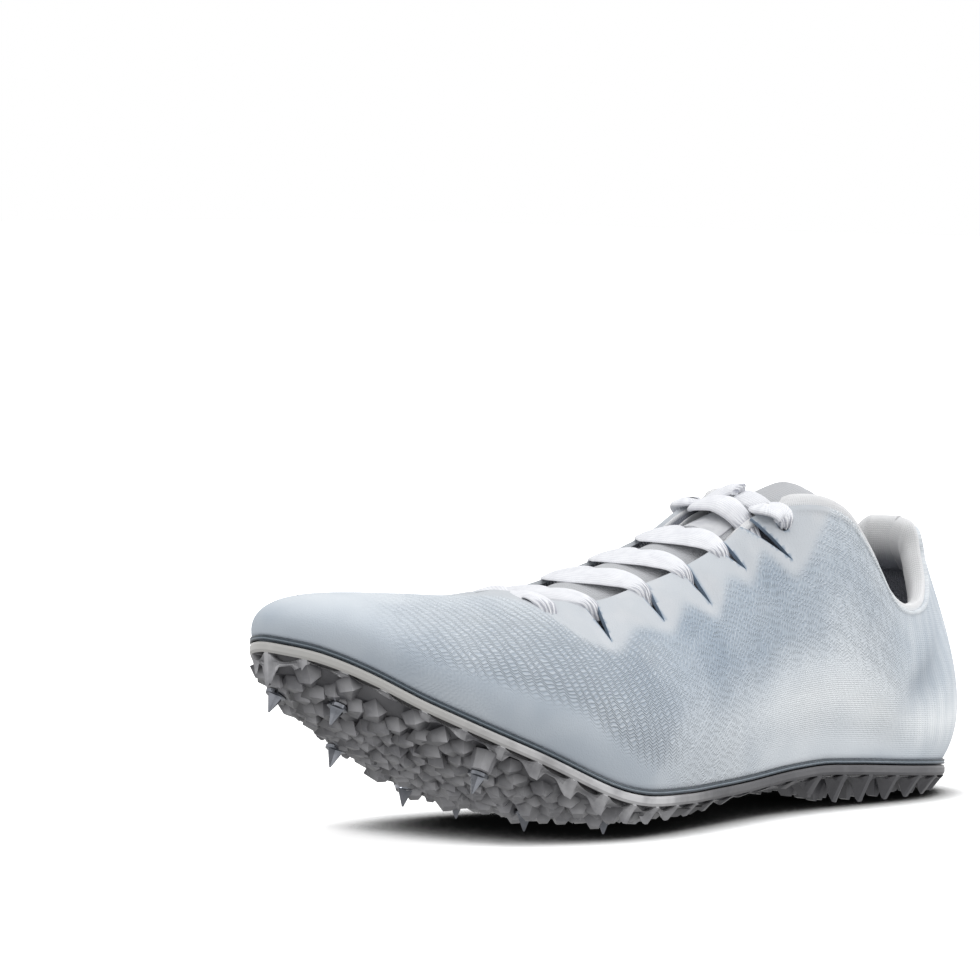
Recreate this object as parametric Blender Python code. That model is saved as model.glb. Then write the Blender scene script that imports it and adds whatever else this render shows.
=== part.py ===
"""Track spike shoe for the left foot, standing on its heel studs and forefoot spikes.

Metres, +X to the toe, +Y to the lateral side, +Z up. The upper is one hollow shell lofted over ribs
that run from the feather edge, where it meets the plate, up to the collar, the throat or the ridge
of the vamp. Every table holds shares of the driving dimensions below.
"""
import math

import bmesh
import bpy
import numpy as np
from mathutils import Matrix, Vector

# Driving dimensions
LENGTH = 0.280  # feather edge, heel to toe
BALL_WIDTH = 0.090
INSTEP_HEIGHT = 0.094  # front peak of the collar above the floor
TOE_SPRING = 0.0613  # height of the feather edge at the toe tip
PLATE_DEPTH = 0.015  # from the feather edge to the deepest studs at the toe
UPPER_WALL = 0.0014
FIT = 0.0003  # clearance between two pieces that touch

# Rand and lip of the plate
RAND_WIDTH = 0.0012
RAND_HEIGHT = 0.0014
RAND_PITCH = 0.0062  # between the sections of the strip
BAND_HEIGHT = 0.0030
MARGIN_WIDTH = 0.0070

# Tread
STUD_PITCH = 0.0130
STUD_PITCH_HEEL = 0.0084
STUD_PITCH_ACROSS = 0.0132
HEEL_PART = 0.30  # share of the length with the heel's pitch
STUD_LEAN = 0.0012
TREAD_REACH = 0.62  # share of the ball width that the studs cover on each side
LUG_PITCH = 0.0142
LUG_ARM = 0.0028
WEB_DEPTH = 0.0028

# Spikes
SPIKE_HEIGHT = 0.0066
SPIKE_RADIUS = 0.0030
SPIKE_TIP_RADIUS = 0.0004
SPIKE_SHOULDER = 0.86  # share of the height where the pyramid meets its seat
SPIKE_WAIST = 0.55  # reach of the flats against the reach of the corners
BOSS_RADIUS = 0.0034
BOSS_FLARE = 0.0014

# Soft trim
LINING_THICKNESS = 0.0056
LINING_DEPTH = 0.0150
LINING_RISE = 0.0012
LINING_FADE = 0.45  # share of the padding lost from the heel to the throat
TONGUE_THICKNESS = 0.0018
INSOLE_THICKNESS = 0.0030
LACE_WIDTH = 0.0086
LACE_THICKNESS = 0.0014
LACE_GATHER = 0.60  # share of the width left where the lace goes under the eyestay
EYELET_RADIUS = 0.0022

RIB_STEPS = 2
ROWS = 8
DEEP = 0.020  # how far a cutter runs past what it cuts
NEAR = 0.02  # share of the length between the two places that give a slope

# along, lateral half width and medial half width of the feather edge
OUTLINE = (
    (0.010, 0.118, 0.120),
    (0.036, 0.222, 0.222),
    (0.075, 0.288, 0.285),
    (0.124, 0.322, 0.317),
    (0.231, 0.312, 0.308),
    (0.374, 0.316, 0.288),
    (0.481, 0.386, 0.330),
    (0.588, 0.463, 0.414),
    (0.660, 0.499, 0.467),
    (0.731, 0.474, 0.497),
    (0.803, 0.400, 0.494),
    (0.872, 0.298, 0.460),
    (0.923, 0.168, 0.415),
    (0.960, 0.030, 0.352),
    (0.987, -0.078, 0.270),
)
TOE_TIP = (1.0, -0.168)

# along; height of the feather edge as a share of TOE_SPRING; depth of the plate down to the valleys
# between studs, and of the studs below them, as shares of PLATE_DEPTH; inset of the plate's foot as
# a share of LUG_PITCH; share of the depth that is lost at the edge, where the underside rises
PROFILE = (
    (0.000, 0.147, 0.28, 0.10, 0.30, 0.00),
    (0.067, 0.176, 0.33, 0.45, 0.40, 0.00),
    (0.142, 0.203, 0.36, 0.50, 0.45, 0.00),
    (0.232, 0.232, 0.38, 0.53, 0.42, 0.00),
    (0.279, 0.243, 0.42, 0.34, 0.40, 0.05),
    (0.317, 0.236, 0.50, 0.08, 0.40, 0.10),
    (0.407, 0.208, 0.42, 0.06, 0.36, 0.15),
    (0.481, 0.202, 0.50, 0.15, 0.34, 0.20),
    (0.553, 0.202, 0.50, 0.22, 0.34, 0.20),
    (0.677, 0.259, 0.58, 0.30, 0.34, 0.22),
    (0.785, 0.473, 0.60, 0.36, 0.30, 0.36),
    (0.892, 0.713, 0.60, 0.36, 0.22, 0.52),
    (0.974, 0.955, 0.62, 0.36, 0.12, 0.45),
    (1.000, 0.995, 0.64, 0.36, 0.06, 0.10),
)

# Ribs of the upper: foot as a share of each side's edge length; top along, then across and height
# on the lateral and on the medial side; lean and pull of the wall at the foot, degrees above level
# and share of the rib's chord; the same at the top, in degrees below level
RIBS = (
    (0.000, 0.028, 0.000, 0.906, 0.000, 0.906, 56, 0.35, 78, 0.30),
    (0.038, 0.035, 0.083, 0.884, 0.083, 0.906, 56, 0.35, 78, 0.30),
    (0.063, 0.044, 0.135, 0.793, 0.137, 0.896, 58, 0.35, 78, 0.30),
    (0.088, 0.062, 0.200, 0.702, 0.203, 0.815, 62, 0.35, 80, 0.30),
    (0.119, 0.099, 0.278, 0.646, 0.270, 0.706, 68, 0.34, 82, 0.30),
    (0.157, 0.146, 0.328, 0.640, 0.316, 0.662, 75, 0.33, 84, 0.30),
    (0.194, 0.178, 0.339, 0.692, 0.326, 0.700, 76, 0.33, 82, 0.30),
    (0.226, 0.205, 0.322, 0.825, 0.312, 0.830, 76, 0.33, 80, 0.30),
    (0.263, 0.233, 0.278, 0.952, 0.268, 0.955, 76, 0.34, 76, 0.30),
    (0.301, 0.279, 0.228, 1.000, 0.218, 1.002, 76, 0.34, 70, 0.30),
    (0.351, 0.351, 0.178, 0.974, 0.172, 0.978, 74, 0.36, 60, 0.32),
    (0.408, 0.408, 0.178, 0.889, 0.172, 0.900, 72, 0.38, 50, 0.34),
    (0.470, 0.481, 0.194, 0.819, 0.184, 0.832, 70, 0.40, 42, 0.36),
    (0.539, 0.553, 0.205, 0.772, 0.195, 0.780, 68, 0.42, 35, 0.38),
    (0.608, 0.624, 0.194, 0.730, 0.184, 0.745, 66, 0.42, 28, 0.40),
    (0.665, 0.678, 0.122, 0.742, 0.122, 0.748, 66, 0.42, 16, 0.42),
    (0.708, 0.703, 0.000, 0.766, 0.000, 0.766, 66, 0.42, 4, 0.42),
    (0.765, 0.756, -0.044, 0.754, 0.044, 0.754, 66, 0.42, 0, 0.42),
    (0.821, 0.821, -0.089, 0.766, 0.089, 0.766, 68, 0.42, 0, 0.42),
    (0.881, 0.878, -0.122, 0.776, 0.122, 0.776, 72, 0.42, 0, 0.42),
    (0.934, 0.917, -0.150, 0.778, 0.150, 0.778, 78, 0.42, 0, 0.42),
    (1.000, 0.949, -0.175, 0.770, 0.175, 0.770, 82, 0.42, 3, 0.42),
)
THROAT_FRONT = 16  # this rib and all ahead of it end on the ridge
COLLAR_FRONT = 9.5  # the padded rim ends at this rib

# Slits between the eyestay fingers: rib at the throat edge, rib and height on the rib of the tip
LATERAL_SLITS = (
    (14.1, 14.4, 0.725),
    (13.0, 13.1, 0.79),
    (12.0, 11.9, 0.79),
    (11.1, 10.8, 0.845),
    (10.3, 9.6, 0.78),
)
MEDIAL_SLITS = (
    (14.0, 14.1, 0.76),
    (13.0, 13.1, 0.79),
    (12.0, 11.9, 0.80),
    (11.0, 10.7, 0.82),
)
SLIT_WIDTH = 0.0050
EYELET_PLACE = (9.6, 0.93)  # rib and height on the rib

# Spikes: along, across, height of the tip as a share of TOE_SPRING, forward tilt in degrees
SPIKES = (
    (0.945, -0.039, 0.578, 30),
    (0.945, -0.321, 0.610, 30),
    (0.845, 0.300, 0.258, 26),
    (0.831, -0.387, 0.303, 24),
    (0.718, -0.389, 0.073, 12),
    (0.653, -0.333, 0.000, 0),
    (0.688, 0.080, 0.000, 0),
    (0.644, 0.310, 0.000, 0),
)

# Tongue: along, height of its middle, half width, fall of its edge
TONGUE = (
    (0.737, 0.700, 0.110, 0.015),
    (0.697, 0.712, 0.150, 0.035),
    (0.624, 0.736, 0.235, 0.090),
    (0.553, 0.788, 0.245, 0.108),
    (0.481, 0.838, 0.240, 0.122),
    (0.408, 0.898, 0.225, 0.135),
    (0.351, 0.948, 0.178, 0.096),
    (0.292, 0.998, 0.150, 0.068),
    (0.242, 1.036, 0.150, 0.055),
    (0.215, 1.032, 0.120, 0.045),
)
LABEL = (0.395, 0.310, 0.110)  # along from, along to, half width

# Lace bars: rib and height on the rib of their ends, and what the middle rises above the tongue
LACE_BARS = (
    (15.3, 0.86, 0.024),
    (14.1, 1.00, 0.000),
    (13.0, 1.00, 0.000),
    (12.0, 1.00, 0.000),
    (11.1, 1.00, 0.004),
    (10.3, 1.00, 0.004),
)

COLOURS = {
    "upper": ((0.74, 0.80, 0.86), 0.55, 0.0),
    "outsole": ((0.30, 0.30, 0.32), 0.45, 0.0),
    "rand": ((0.16, 0.18, 0.21), 0.40, 0.0),
    "lining": ((0.66, 0.66, 0.66), 0.80, 0.0),
    "tongue": ((0.52, 0.52, 0.54), 0.85, 0.0),
    "label": ((0.70, 0.71, 0.74), 0.50, 0.0),
    "insole": ((0.30, 0.31, 0.33), 0.85, 0.0),
    "lace": ((0.70, 0.70, 0.76), 0.80, 0.0),
    "spike": ((0.80, 0.82, 0.84), 0.15, 1.0),
}


def clear_scene():
    for obj in list(bpy.data.objects):
        bpy.data.objects.remove(obj, do_unlink=True)


def interpolate(keys, values, where):
    """Smooth curve through the values, with the slope at each key taken from its neighbours."""
    keys = np.asarray(keys, float)
    values = np.asarray(values, float)
    slopes = np.gradient(values, keys, axis=0)
    where = np.clip(np.asarray(where, float), keys[0], keys[-1])
    left = np.clip(np.searchsorted(keys, where, side="right") - 1, 0, len(keys) - 2)
    width = keys[left + 1] - keys[left]
    t = (where - keys[left]) / width
    if values.ndim > 1:
        t = t[..., None]
        width = width[..., None]
    return (
        (2 * t**3 - 3 * t**2 + 1) * values[left]
        + (t**3 - 2 * t**2 + t) * width * slopes[left]
        + (3 * t**2 - 2 * t**3) * values[left + 1]
        + (t**3 - t**2) * width * slopes[left + 1]
    )


def edge_path():
    """Feather edge seen from above as two dense lines, heel to toe, with their share of length."""
    table = np.array(OUTLINE)
    scale = (LENGTH, BALL_WIDTH)
    heel = [(0.0, 0.0)]
    lateral = [(row[0], row[1]) for row in table]
    medial = [(row[0], -row[2]) for row in table][::-1]
    loop = np.array(heel + lateral + [TOE_TIP] + medial) * scale
    lap = len(loop)
    loop = np.concatenate([loop, loop, loop])
    steps = np.concatenate([[0], np.cumsum(np.linalg.norm(np.diff(loop, axis=0), axis=1))])
    samples = 240
    toe = lap + len(lateral) + 1
    sides = []
    for start, end in ((lap, toe), (2 * lap, toe)):
        at = np.linspace(steps[start], steps[end], samples)
        line = interpolate(steps, loop, at)
        run = np.concatenate([[0], np.cumsum(np.linalg.norm(np.diff(line, axis=0), axis=1))])
        sides.append((line, run / run[-1], run[-1]))
    return sides


EDGE = edge_path()


def edge_point(side, share):
    """Point of the feather edge and the direction straight out of it. Side 0 is lateral."""
    line, run, _ = EDGE[side]
    ahead = min(share + 0.004, 1.0)
    behind = max(share - 0.004, 0.0)
    point = np.array([np.interp(share, run, line[:, k]) for k in (0, 1)])
    if share <= 0.0:
        return point, np.array([-1.0, 0.0])
    if share >= 1.0:
        return point, np.array([1.0, 0.0])
    turn = [np.interp(ahead, run, line[:, k]) - np.interp(behind, run, line[:, k]) for k in (0, 1)]
    out = np.array([-turn[1], turn[0]]) * (1 if side == 0 else -1)
    return point, out / np.linalg.norm(out)


def profile(x, column):
    table = np.array(PROFILE)
    return interpolate(table[:, 0] * LENGTH, table[:, column], x)


def edge_height(x):
    return profile(x, 1) * TOE_SPRING


def crown(x, y):
    """Share of the plate's full depth that is left at this place, less towards the edges."""
    sides = [np.interp(x, line[:, 0], line[:, 1]) for line, _, _ in EDGE]
    middle, half = (sides[0] + sides[1]) / 2, max((sides[0] - sides[1]) / 2, FIT)
    part = min(abs(y - middle) / half, 1.0)
    return 1.0 - profile(x, 5) * part**2


def on_bed(place, lift):
    """Point above the plate's top face, which follows the feather edge."""
    return np.array([*place, edge_height(place[0]) - RAND_HEIGHT / 2 + lift])


def valley_height(x, y):
    return edge_height(x) - profile(x, 2) * PLATE_DEPTH * crown(x, y)


def stud_height(x, y):
    return edge_height(x) - (profile(x, 2) + profile(x, 3)) * PLATE_DEPTH * crown(x, y)


def rib_values(index):
    return interpolate(np.arange(len(RIBS)), RIBS, index)


def rib_curve(side, index, heights):
    """Points of one rib, from its foot just above the rand to its top."""
    row = rib_values(index)
    foot, out = edge_point(side, float(row[0]))
    foot = np.array([*(foot - out * FIT), edge_height(foot[0]) + RAND_HEIGHT / 2 + 2 * FIT])
    sign = 1 if side == 0 else -1
    across, height = (row[2], row[3]) if side == 0 else (row[4], row[5])
    top = np.array([row[1] * LENGTH, sign * across * BALL_WIDTH, height * INSTEP_HEIGHT])
    out = np.array([*out, 0.0])
    up = np.array([0.0, 0.0, 1.0])
    chord = np.linalg.norm(top - foot)
    lean, fall = math.radians(row[6]), math.radians(row[8])
    first = foot + row[7] * chord * (math.cos(lean) * out + math.sin(lean) * up)
    second = top + row[9] * chord * (math.cos(fall) * out - math.sin(fall) * up)
    t = np.asarray(heights, float)[:, None]
    return (1 - t) ** 3 * foot + 3 * (1 - t) ** 2 * t * first + 3 * (1 - t) * t**2 * second + t**3 * top


def wall_frame(side, index, height):
    """Point on the outside of the upper, with the directions out of the wall, up it and forward."""
    step = 0.02
    low, high = max(height - step, 0.0), min(height + step, 1.0)
    here = rib_curve(side, index, [height])[0]
    ends = rib_curve(side, index, [low, high])
    up = ends[1] - ends[0]
    up /= np.linalg.norm(up)
    last = len(RIBS) - 1
    near = rib_curve(side, max(index - 0.1, 0), [height])[0]
    far = rib_curve(side, min(index + 0.1, last), [height])[0]
    forward = far - near
    forward -= up * np.dot(forward, up)
    forward /= np.linalg.norm(forward)
    out = np.cross(forward, up) * (-1 if side == 0 else 1)
    return here, out, up, forward


def add_object(name, points, faces, colour, smooth=True):
    mesh = bpy.data.meshes.new(name)
    mesh.from_pydata([tuple(map(float, p)) for p in points], [], faces)
    work = bmesh.new()
    work.from_mesh(mesh)
    bmesh.ops.recalc_face_normals(work, faces=work.faces)
    work.to_mesh(mesh)
    work.free()
    if smooth:
        mesh.shade_smooth()
        mesh.set_sharp_from_angle(angle=math.radians(40))
    obj = bpy.data.objects.new(name, mesh)
    bpy.context.collection.objects.link(obj)
    if colour:
        mesh.materials.append(material(colour))
    return obj


def material(name):
    found = bpy.data.materials.get(name)
    if found:
        return found
    colour, roughness, metallic = COLOURS[name]
    made = bpy.data.materials.new(name)
    made.use_nodes = True
    shader = made.node_tree.nodes["Principled BSDF"]
    shader.inputs["Base Color"].default_value = (*colour, 1.0)
    shader.inputs["Roughness"].default_value = roughness
    shader.inputs["Metallic"].default_value = metallic
    made.diffuse_color = (*colour, 1.0)
    return made


def sweep(name, rings, colour, closed=False, smooth=True):
    """Solid through equal rings of points; its ends are closed by strips unless it is a loop."""
    count = len(rings[0])
    points = [p for ring in rings for p in ring]
    faces = []
    for i in range(len(rings) if closed else len(rings) - 1):
        a, b = i * count, (i + 1) % len(rings) * count
        faces += [(a + k, a + (k + 1) % count, b + (k + 1) % count, b + k) for k in range(count)]
    if not closed:
        for a in (0, (len(rings) - 1) * count):
            half = range(count // 2 - 1)
            faces += [(a + k, a + k + 1, a + count - 2 - k, a + count - 1 - k) for k in half]
    return add_object(name, points, faces, colour, smooth)


def cutter(obj):
    obj.hide_render = True
    obj.display_type = "WIRE"
    return obj


def boolean(obj, other, operation="DIFFERENCE"):
    step = obj.modifiers.new(other.name, "BOOLEAN")
    step.operation = operation
    step.object = other
    step.solver = "EXACT"


def make_upper():
    """Shell from the turned-in lasting margin up to the collar, throat and ridge."""
    last = len(RIBS) - 1
    stations = np.linspace(0, last, last * RIB_STEPS + 1)
    heights = np.linspace(0, 1, ROWS)
    points, places, faces = [], {}, []

    def vertex(side, station, row, place):
        on_ridge = row == ROWS + 1 and stations[station] >= THROAT_FRONT
        key = (0 if on_ridge or station in (0, len(stations) - 1) else side, station, row)
        if key not in places:
            places[key] = len(points)
            points.append(place)
        return places[key]

    for side in (0, 1):
        grid = []
        for station, index in enumerate(stations):
            foot, out = edge_point(side, float(rib_values(index)[0]))
            inner = RAND_WIDTH + 2 * FIT
            margin = [on_bed(foot - out * back, FIT * 1.5) for back in (inner + MARGIN_WIDTH, inner)]
            column = margin + list(rib_curve(side, index, heights))
            grid.append([vertex(side, station, row, place) for row, place in enumerate(column)])
        for a, b in zip(grid, grid[1:]):
            for k in range(len(a) - 1):
                face = [a[k], b[k], b[k + 1], a[k + 1]]
                corners = list(dict.fromkeys(face))
                if len(corners) > 2:
                    faces.append(corners)
    upper = add_object("upper", points, faces, "upper")
    wall = upper.modifiers.new("wall", "SOLIDIFY")
    wall.thickness = UPPER_WALL
    wall.offset = -1.0
    wall.use_even_offset = True
    for side, slits in ((0, LATERAL_SLITS), (1, MEDIAL_SLITS)):
        for number, slit in enumerate(slits):
            boolean(upper, slit_cutter(side, number, slit))
        boolean(upper, eyelet_cutter(side))
    return upper


def slit_cutter(side, number, slit):
    """Wedge that opens the wall between two eyestay fingers, from its tip out past the throat."""
    top_rib, tip_rib, tip_height = slit
    tip = rib_curve(side, tip_rib, [tip_height])[0]
    top, out, _, _ = wall_frame(side, top_rib, 1.0)
    middle, middle_out, _, _ = wall_frame(side, (top_rib + tip_rib) / 2, (tip_height + 1) / 2)
    out = out + middle_out
    out /= np.linalg.norm(out)
    run = top - tip
    run -= out * np.dot(run, out)
    across = np.cross(run, out)
    across /= np.linalg.norm(across)
    past = 1.6
    end, half = tip + run * past, across * SLIT_WIDTH * past / 2
    corners = [tip, end + half, end - half]
    rings = [[c + out * reach for c in corners] for reach in (-DEEP / 2, DEEP / 2)]
    points = rings[0] + rings[1]
    faces = [(0, 1, 2), (5, 4, 3), (0, 3, 4, 1), (1, 4, 5, 2), (2, 5, 3, 0)]
    name = f"slit_{'lateral' if side == 0 else 'medial'}_{number + 1}"
    return cutter(add_object(name, points, faces, None, smooth=False))


def eyelet_cutter(side):
    here, out, _, _ = wall_frame(side, *EYELET_PLACE)
    name = f"eyelet_{'lateral' if side == 0 else 'medial'}"
    ends = ((-DEEP / 2, EYELET_RADIUS), (DEEP / 2, EYELET_RADIUS))
    return cutter(round_posts(name, [(Vector(here), Vector(out), ends)], 12, 0.0))


def ring_shares(pitch, pattern):
    """Places round the edge, heel to toe on one side and back on the other, in repeats of a pattern."""
    places = []
    for side in (0, 1):
        repeats = max(2, round(EDGE[side][2] / pitch))
        shares = [(k + part) / repeats for k in range(repeats) for part in pattern]
        kinds = [n for _ in range(repeats) for n in range(len(pattern))]
        row = [(side, share, kind) for share, kind in zip(shares, kinds)]
        if side == 1:
            row = [(1, 1.0, 0)] + row[:0:-1]
        places += row
    return places


def make_outsole():
    """Moulded plate: smooth band under the rand, lug arms with webs between, and a field of studs."""
    arm = LUG_ARM / LUG_PITCH
    places = ring_shares(LUG_PITCH, (0.0, arm, arm + (1 - arm) / 3, arm + (1 - arm) * 2 / 3))
    rings = [[], [], [], [], []]
    for side, share, kind in places:
        foot, out = edge_point(side, share)
        x = foot[0]
        lip = edge_height(x) - RAND_HEIGHT / 2 - FIT * 1.5
        web = WEB_DEPTH * (kind > 1)
        inset = profile(x, 4) * LUG_PITCH
        floor = valley_height(x, foot[1])
        levels = (
            (0.0, lip),
            (BAND_HEIGHT / 8, lip - BAND_HEIGHT),
            (inset / 3 + web, lip - BAND_HEIGHT * 1.8),
            (inset + web, floor),
            (inset + web, 0.0),
        )
        for ring, (back, z) in zip(rings, levels):
            ring.append(np.array([*(foot - out * back), z]))
    count = len(places)
    points = [p for ring in rings for p in ring]
    faces = []
    for level in range(len(rings) - 1):
        a, b = level * count, (level + 1) * count
        faces += [(a + k, a + (k + 1) % count, b + (k + 1) % count, b + k) for k in range(count)]
    toe = next(k for k, place in enumerate(places) if place[0] == 1)
    for a in (0, (len(rings) - 1) * count):
        left, right = 1, count - 1
        faces.append((a, a + left, a + right))
        while left + 1 < right:
            nearer = left < toe and (right - 1 < toe or points[left][0] <= points[right][0])
            new = left + 1 if nearer else right - 1
            faces.append((a + left, a + new, a + right))
            left, right = (new, right) if nearer else (left, new)
    outsole = add_object("outsole", points, faces, "outsole")
    boolean(outsole, tread_cutter())
    boolean(outsole, boss_stock(), "UNION")
    boolean(outsole, spike_pockets())
    return outsole


def tread_cutter():
    """Everything below the studs: a lattice of leaning pyramids over a deep block."""
    across = STUD_PITCH_ACROSS / 2
    lines = [-DEEP / 2]
    while lines[-1] < LENGTH + DEEP / 2:
        lines.append(lines[-1] + (STUD_PITCH_HEEL if lines[-1] < HEEL_PART * LENGTH else STUD_PITCH) / 2)
    side = math.ceil(BALL_WIDTH * TREAD_REACH / across)
    columns = range(-side, side + 1)
    points, faces = [], []
    for i, x in enumerate(lines):
        for j in columns:
            on_tip = (i + j) % 2 == 0
            place = min(max(x, 0.0), LENGTH)
            y = j * across
            z = float(stud_height(place, y) if on_tip else valley_height(place, y))
            points.append((x + (STUD_LEAN if on_tip else 0.0), y, z))
    wide = len(columns)
    top = len(points)
    points += [(p[0], p[1], -DEEP) for p in points]
    rows = len(lines) - 1
    for i in range(rows):
        for j in range(wide - 1):
            a, b, c, d = i * wide + j, (i + 1) * wide + j, (i + 1) * wide + j + 1, i * wide + j + 1
            if (i + j - side) % 2 == 0:
                faces += [(a, b, d), (b, c, d)]
            else:
                faces += [(a, b, c), (a, c, d)]
            faces.append((top + a, top + d, top + c, top + b))
    rim = list(range(wide))
    rim += [i * wide + wide - 1 for i in range(1, rows + 1)]
    rim += [rows * wide + j for j in range(wide - 2, -1, -1)]
    rim += [i * wide for i in range(rows - 1, 0, -1)]
    for a, b in zip(rim, rim[1:] + rim[:1]):
        faces.append((a, b, top + b, top + a))
    return cutter(add_object("tread_cutter", points, faces, None, smooth=False))


def spike_frame(spike):
    """Tip, axis from the tip up into the plate, and seat of a spike."""
    along, across, height, tilt = spike
    tip = Vector((along * LENGTH, across * BALL_WIDTH, height * TOE_SPRING))
    axis = Vector((-math.sin(math.radians(tilt)), 0.0, math.cos(math.radians(tilt))))
    return tip, axis, tip + axis * SPIKE_HEIGHT


def round_posts(name, posts, sides, turned):
    """One body of separate round posts, each a seat, an axis and (height, radius) of its two ends."""
    points, faces = [], []
    for seat, axis, ends in posts:
        turn = Vector((0, 0, 1)).rotation_difference(axis).to_matrix()
        a = len(points)
        b = a + sides
        for height, radius in ends:
            for k in range(sides):
                angle = 2 * math.pi * (k + turned) / sides
                flat = Vector((radius * math.cos(angle), radius * math.sin(angle), height))
                points.append(seat + turn @ flat)
        faces += [(a + k, a + (k + 1) % sides, b + (k + 1) % sides, b + k) for k in range(sides)]
        faces.append(tuple(a + k for k in range(sides)))
        faces.append(tuple(b + sides - 1 - k for k in range(sides)))
    return add_object(name, points, faces, None, smooth=False)


def boss_stock():
    """Short flared posts that carry the spikes, joined to the plate."""
    posts = []
    for spike in SPIKES:
        _, axis, seat = spike_frame(spike)
        root = edge_height(seat.x) - RAND_HEIGHT / 2 - BAND_HEIGHT - FIT
        reach = float((root - seat.z) / axis.z)
        posts.append((seat, axis, ((FIT, BOSS_RADIUS), (reach, BOSS_RADIUS + BOSS_FLARE))))
    return cutter(round_posts("boss_stock", posts, 8, 0.0))


def spike_pockets():
    """Clears the studs away from under each boss, where its spike stands."""
    radius = BOSS_RADIUS + FIT
    posts = []
    for spike in SPIKES:
        _, axis, seat = spike_frame(spike)
        posts.append((seat, axis, ((-DEEP, radius), (FIT, radius))))
    return cutter(round_posts("spike_pockets", posts, 8, 0.5))


def make_spikes():
    """Fixed metal spikes: a flat round seat and a three-sided pyramid with a blunted tip."""
    sides = 6
    for number, spike in enumerate(SPIKES):
        tip, axis, seat = spike_frame(spike)
        turn = Vector((0, 0, 1)).rotation_difference(axis).to_matrix()
        levels = (
            (0.0, SPIKE_TIP_RADIUS, 1.0),
            (SPIKE_HEIGHT * SPIKE_SHOULDER, SPIKE_RADIUS * SPIKE_SHOULDER, SPIKE_WAIST),
            (SPIKE_HEIGHT, SPIKE_RADIUS, 1.0),
        )
        rings = []
        for height, radius, narrow in levels:
            ring = []
            for k in range(sides):
                reach = radius * (narrow if k % 2 else 1.0)
                angle = 2 * math.pi * k / sides
                flat = Vector((reach * math.cos(angle), reach * math.sin(angle), height))
                ring.append(tip + turn @ flat)
            rings.append(ring)
        sweep(f"spike_{number + 1}", rings, "spike", smooth=False)


def make_rand():
    """Thin strip all round, between the upper's feather edge and the lip of the plate."""
    rings = []
    for side, share, _ in ring_shares(RAND_PITCH, (0.0,)):
        foot, out = edge_point(side, share)
        middle = edge_height(foot[0])
        section = ((0.0, -0.5), (RAND_WIDTH, -0.5), (RAND_WIDTH * 0.35, 0.42), (-FIT / 2, 0.5))
        rings.append([
            np.array([*(foot - out * back), middle + RAND_HEIGHT * rise]) for back, rise in section
        ])
    return sweep("rand", rings, "rand", closed=True)


def make_insole():
    """Thin sockliner on the lasting margin."""
    rings = []
    back = RAND_WIDTH + UPPER_WALL + 6 * FIT
    rise = UPPER_WALL + 5 * FIT
    for share in np.linspace(0.03, 0.97, 36):
        ends = []
        for side in (0, 1):
            foot, out = edge_point(side, share)
            ends.append(on_bed(foot - out * back, rise))
        lift = np.array([0.0, 0.0, INSOLE_THICKNESS])
        line = [ends[0] + (ends[1] - ends[0]) * part for part in (0.0, 0.5, 1.0)]
        rings.append(line + [p + lift for p in line[::-1]])
    return sweep("insole", rings, "insole")


def make_collar_lining():
    """Padded rim inside the collar, from the throat round the heel to the throat."""
    steps = round(COLLAR_FRONT * RIB_STEPS)
    stations = [(0, k / RIB_STEPS) for k in range(steps, 0, -1)]
    stations += [(1, k / RIB_STEPS) for k in range(0, steps + 1)]
    gap = UPPER_WALL + FIT * 3
    rings = []
    for side, index in stations:
        top, out, up, _ = wall_frame(side, index, 1.0)
        fade = 1.0 - LINING_FADE * min(1.0, index / COLLAR_FRONT)
        thick = LINING_THICKNESS * fade
        lip = LINING_RISE * (1.0 + min(1.0, max(0.0, (index - 5) / 3)))
        length = np.linalg.norm(np.diff(rib_curve(side, index, [0.0, 1.0]), axis=0))
        low, low_out, _, _ = wall_frame(side, index, 1.0 - LINING_DEPTH / length)
        section = (
            (top, out, lip * 0.4, gap),
            (top, out, lip * 1.6, gap + thick * 0.45),
            (top, out, -thick * 0.5, gap + thick),
            (low, low_out, thick * 0.8, gap + thick * 0.9),
            (low, low_out, 0.0, gap + thick * 0.45),
            (low, low_out, 0.0, gap),
        )
        rings.append([place + up * rise - facing * depth for place, facing, rise, depth in section])
    return sweep("collar_lining", rings, "lining")


def tongue_section(along):
    table = np.array(TONGUE)[::-1]
    return interpolate(table[:, 0], table, along) * (LENGTH, INSTEP_HEIGHT, BALL_WIDTH, INSTEP_HEIGHT)


def tongue_point(along, part, lift):
    """Point of the tongue's underside; part runs from -1 on the medial to 1 on the lateral edge."""
    x, middle, half, fall = tongue_section(along)
    return np.array([x, half * part, middle - fall * abs(part) ** 1.8 + lift])


def sheet(name, colour, starts, parts, low, high):
    rings = []
    for along in starts:
        lower = [tongue_point(along, part, low) for part in parts]
        upper = [tongue_point(along, part, high) for part in parts]
        rings.append(lower + upper[::-1])
    return sweep(name, rings, colour)


def make_tongue():
    first, last = TONGUE[0][0], TONGUE[-1][0]
    parts = np.linspace(-1, 1, 9)
    sheet("tongue", "tongue", np.linspace(first, last, 13), parts, 0.0, TONGUE_THICKNESS)
    start, end, half = LABEL
    reach = half * BALL_WIDTH / tongue_section((start + end) / 2)[2]
    base = TONGUE_THICKNESS + FIT * 1.5
    parts = np.linspace(-reach, reach, 5)
    sheet("tongue_label", "label", np.linspace(start, end, 5), parts, base, base + FIT * 2)


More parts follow.
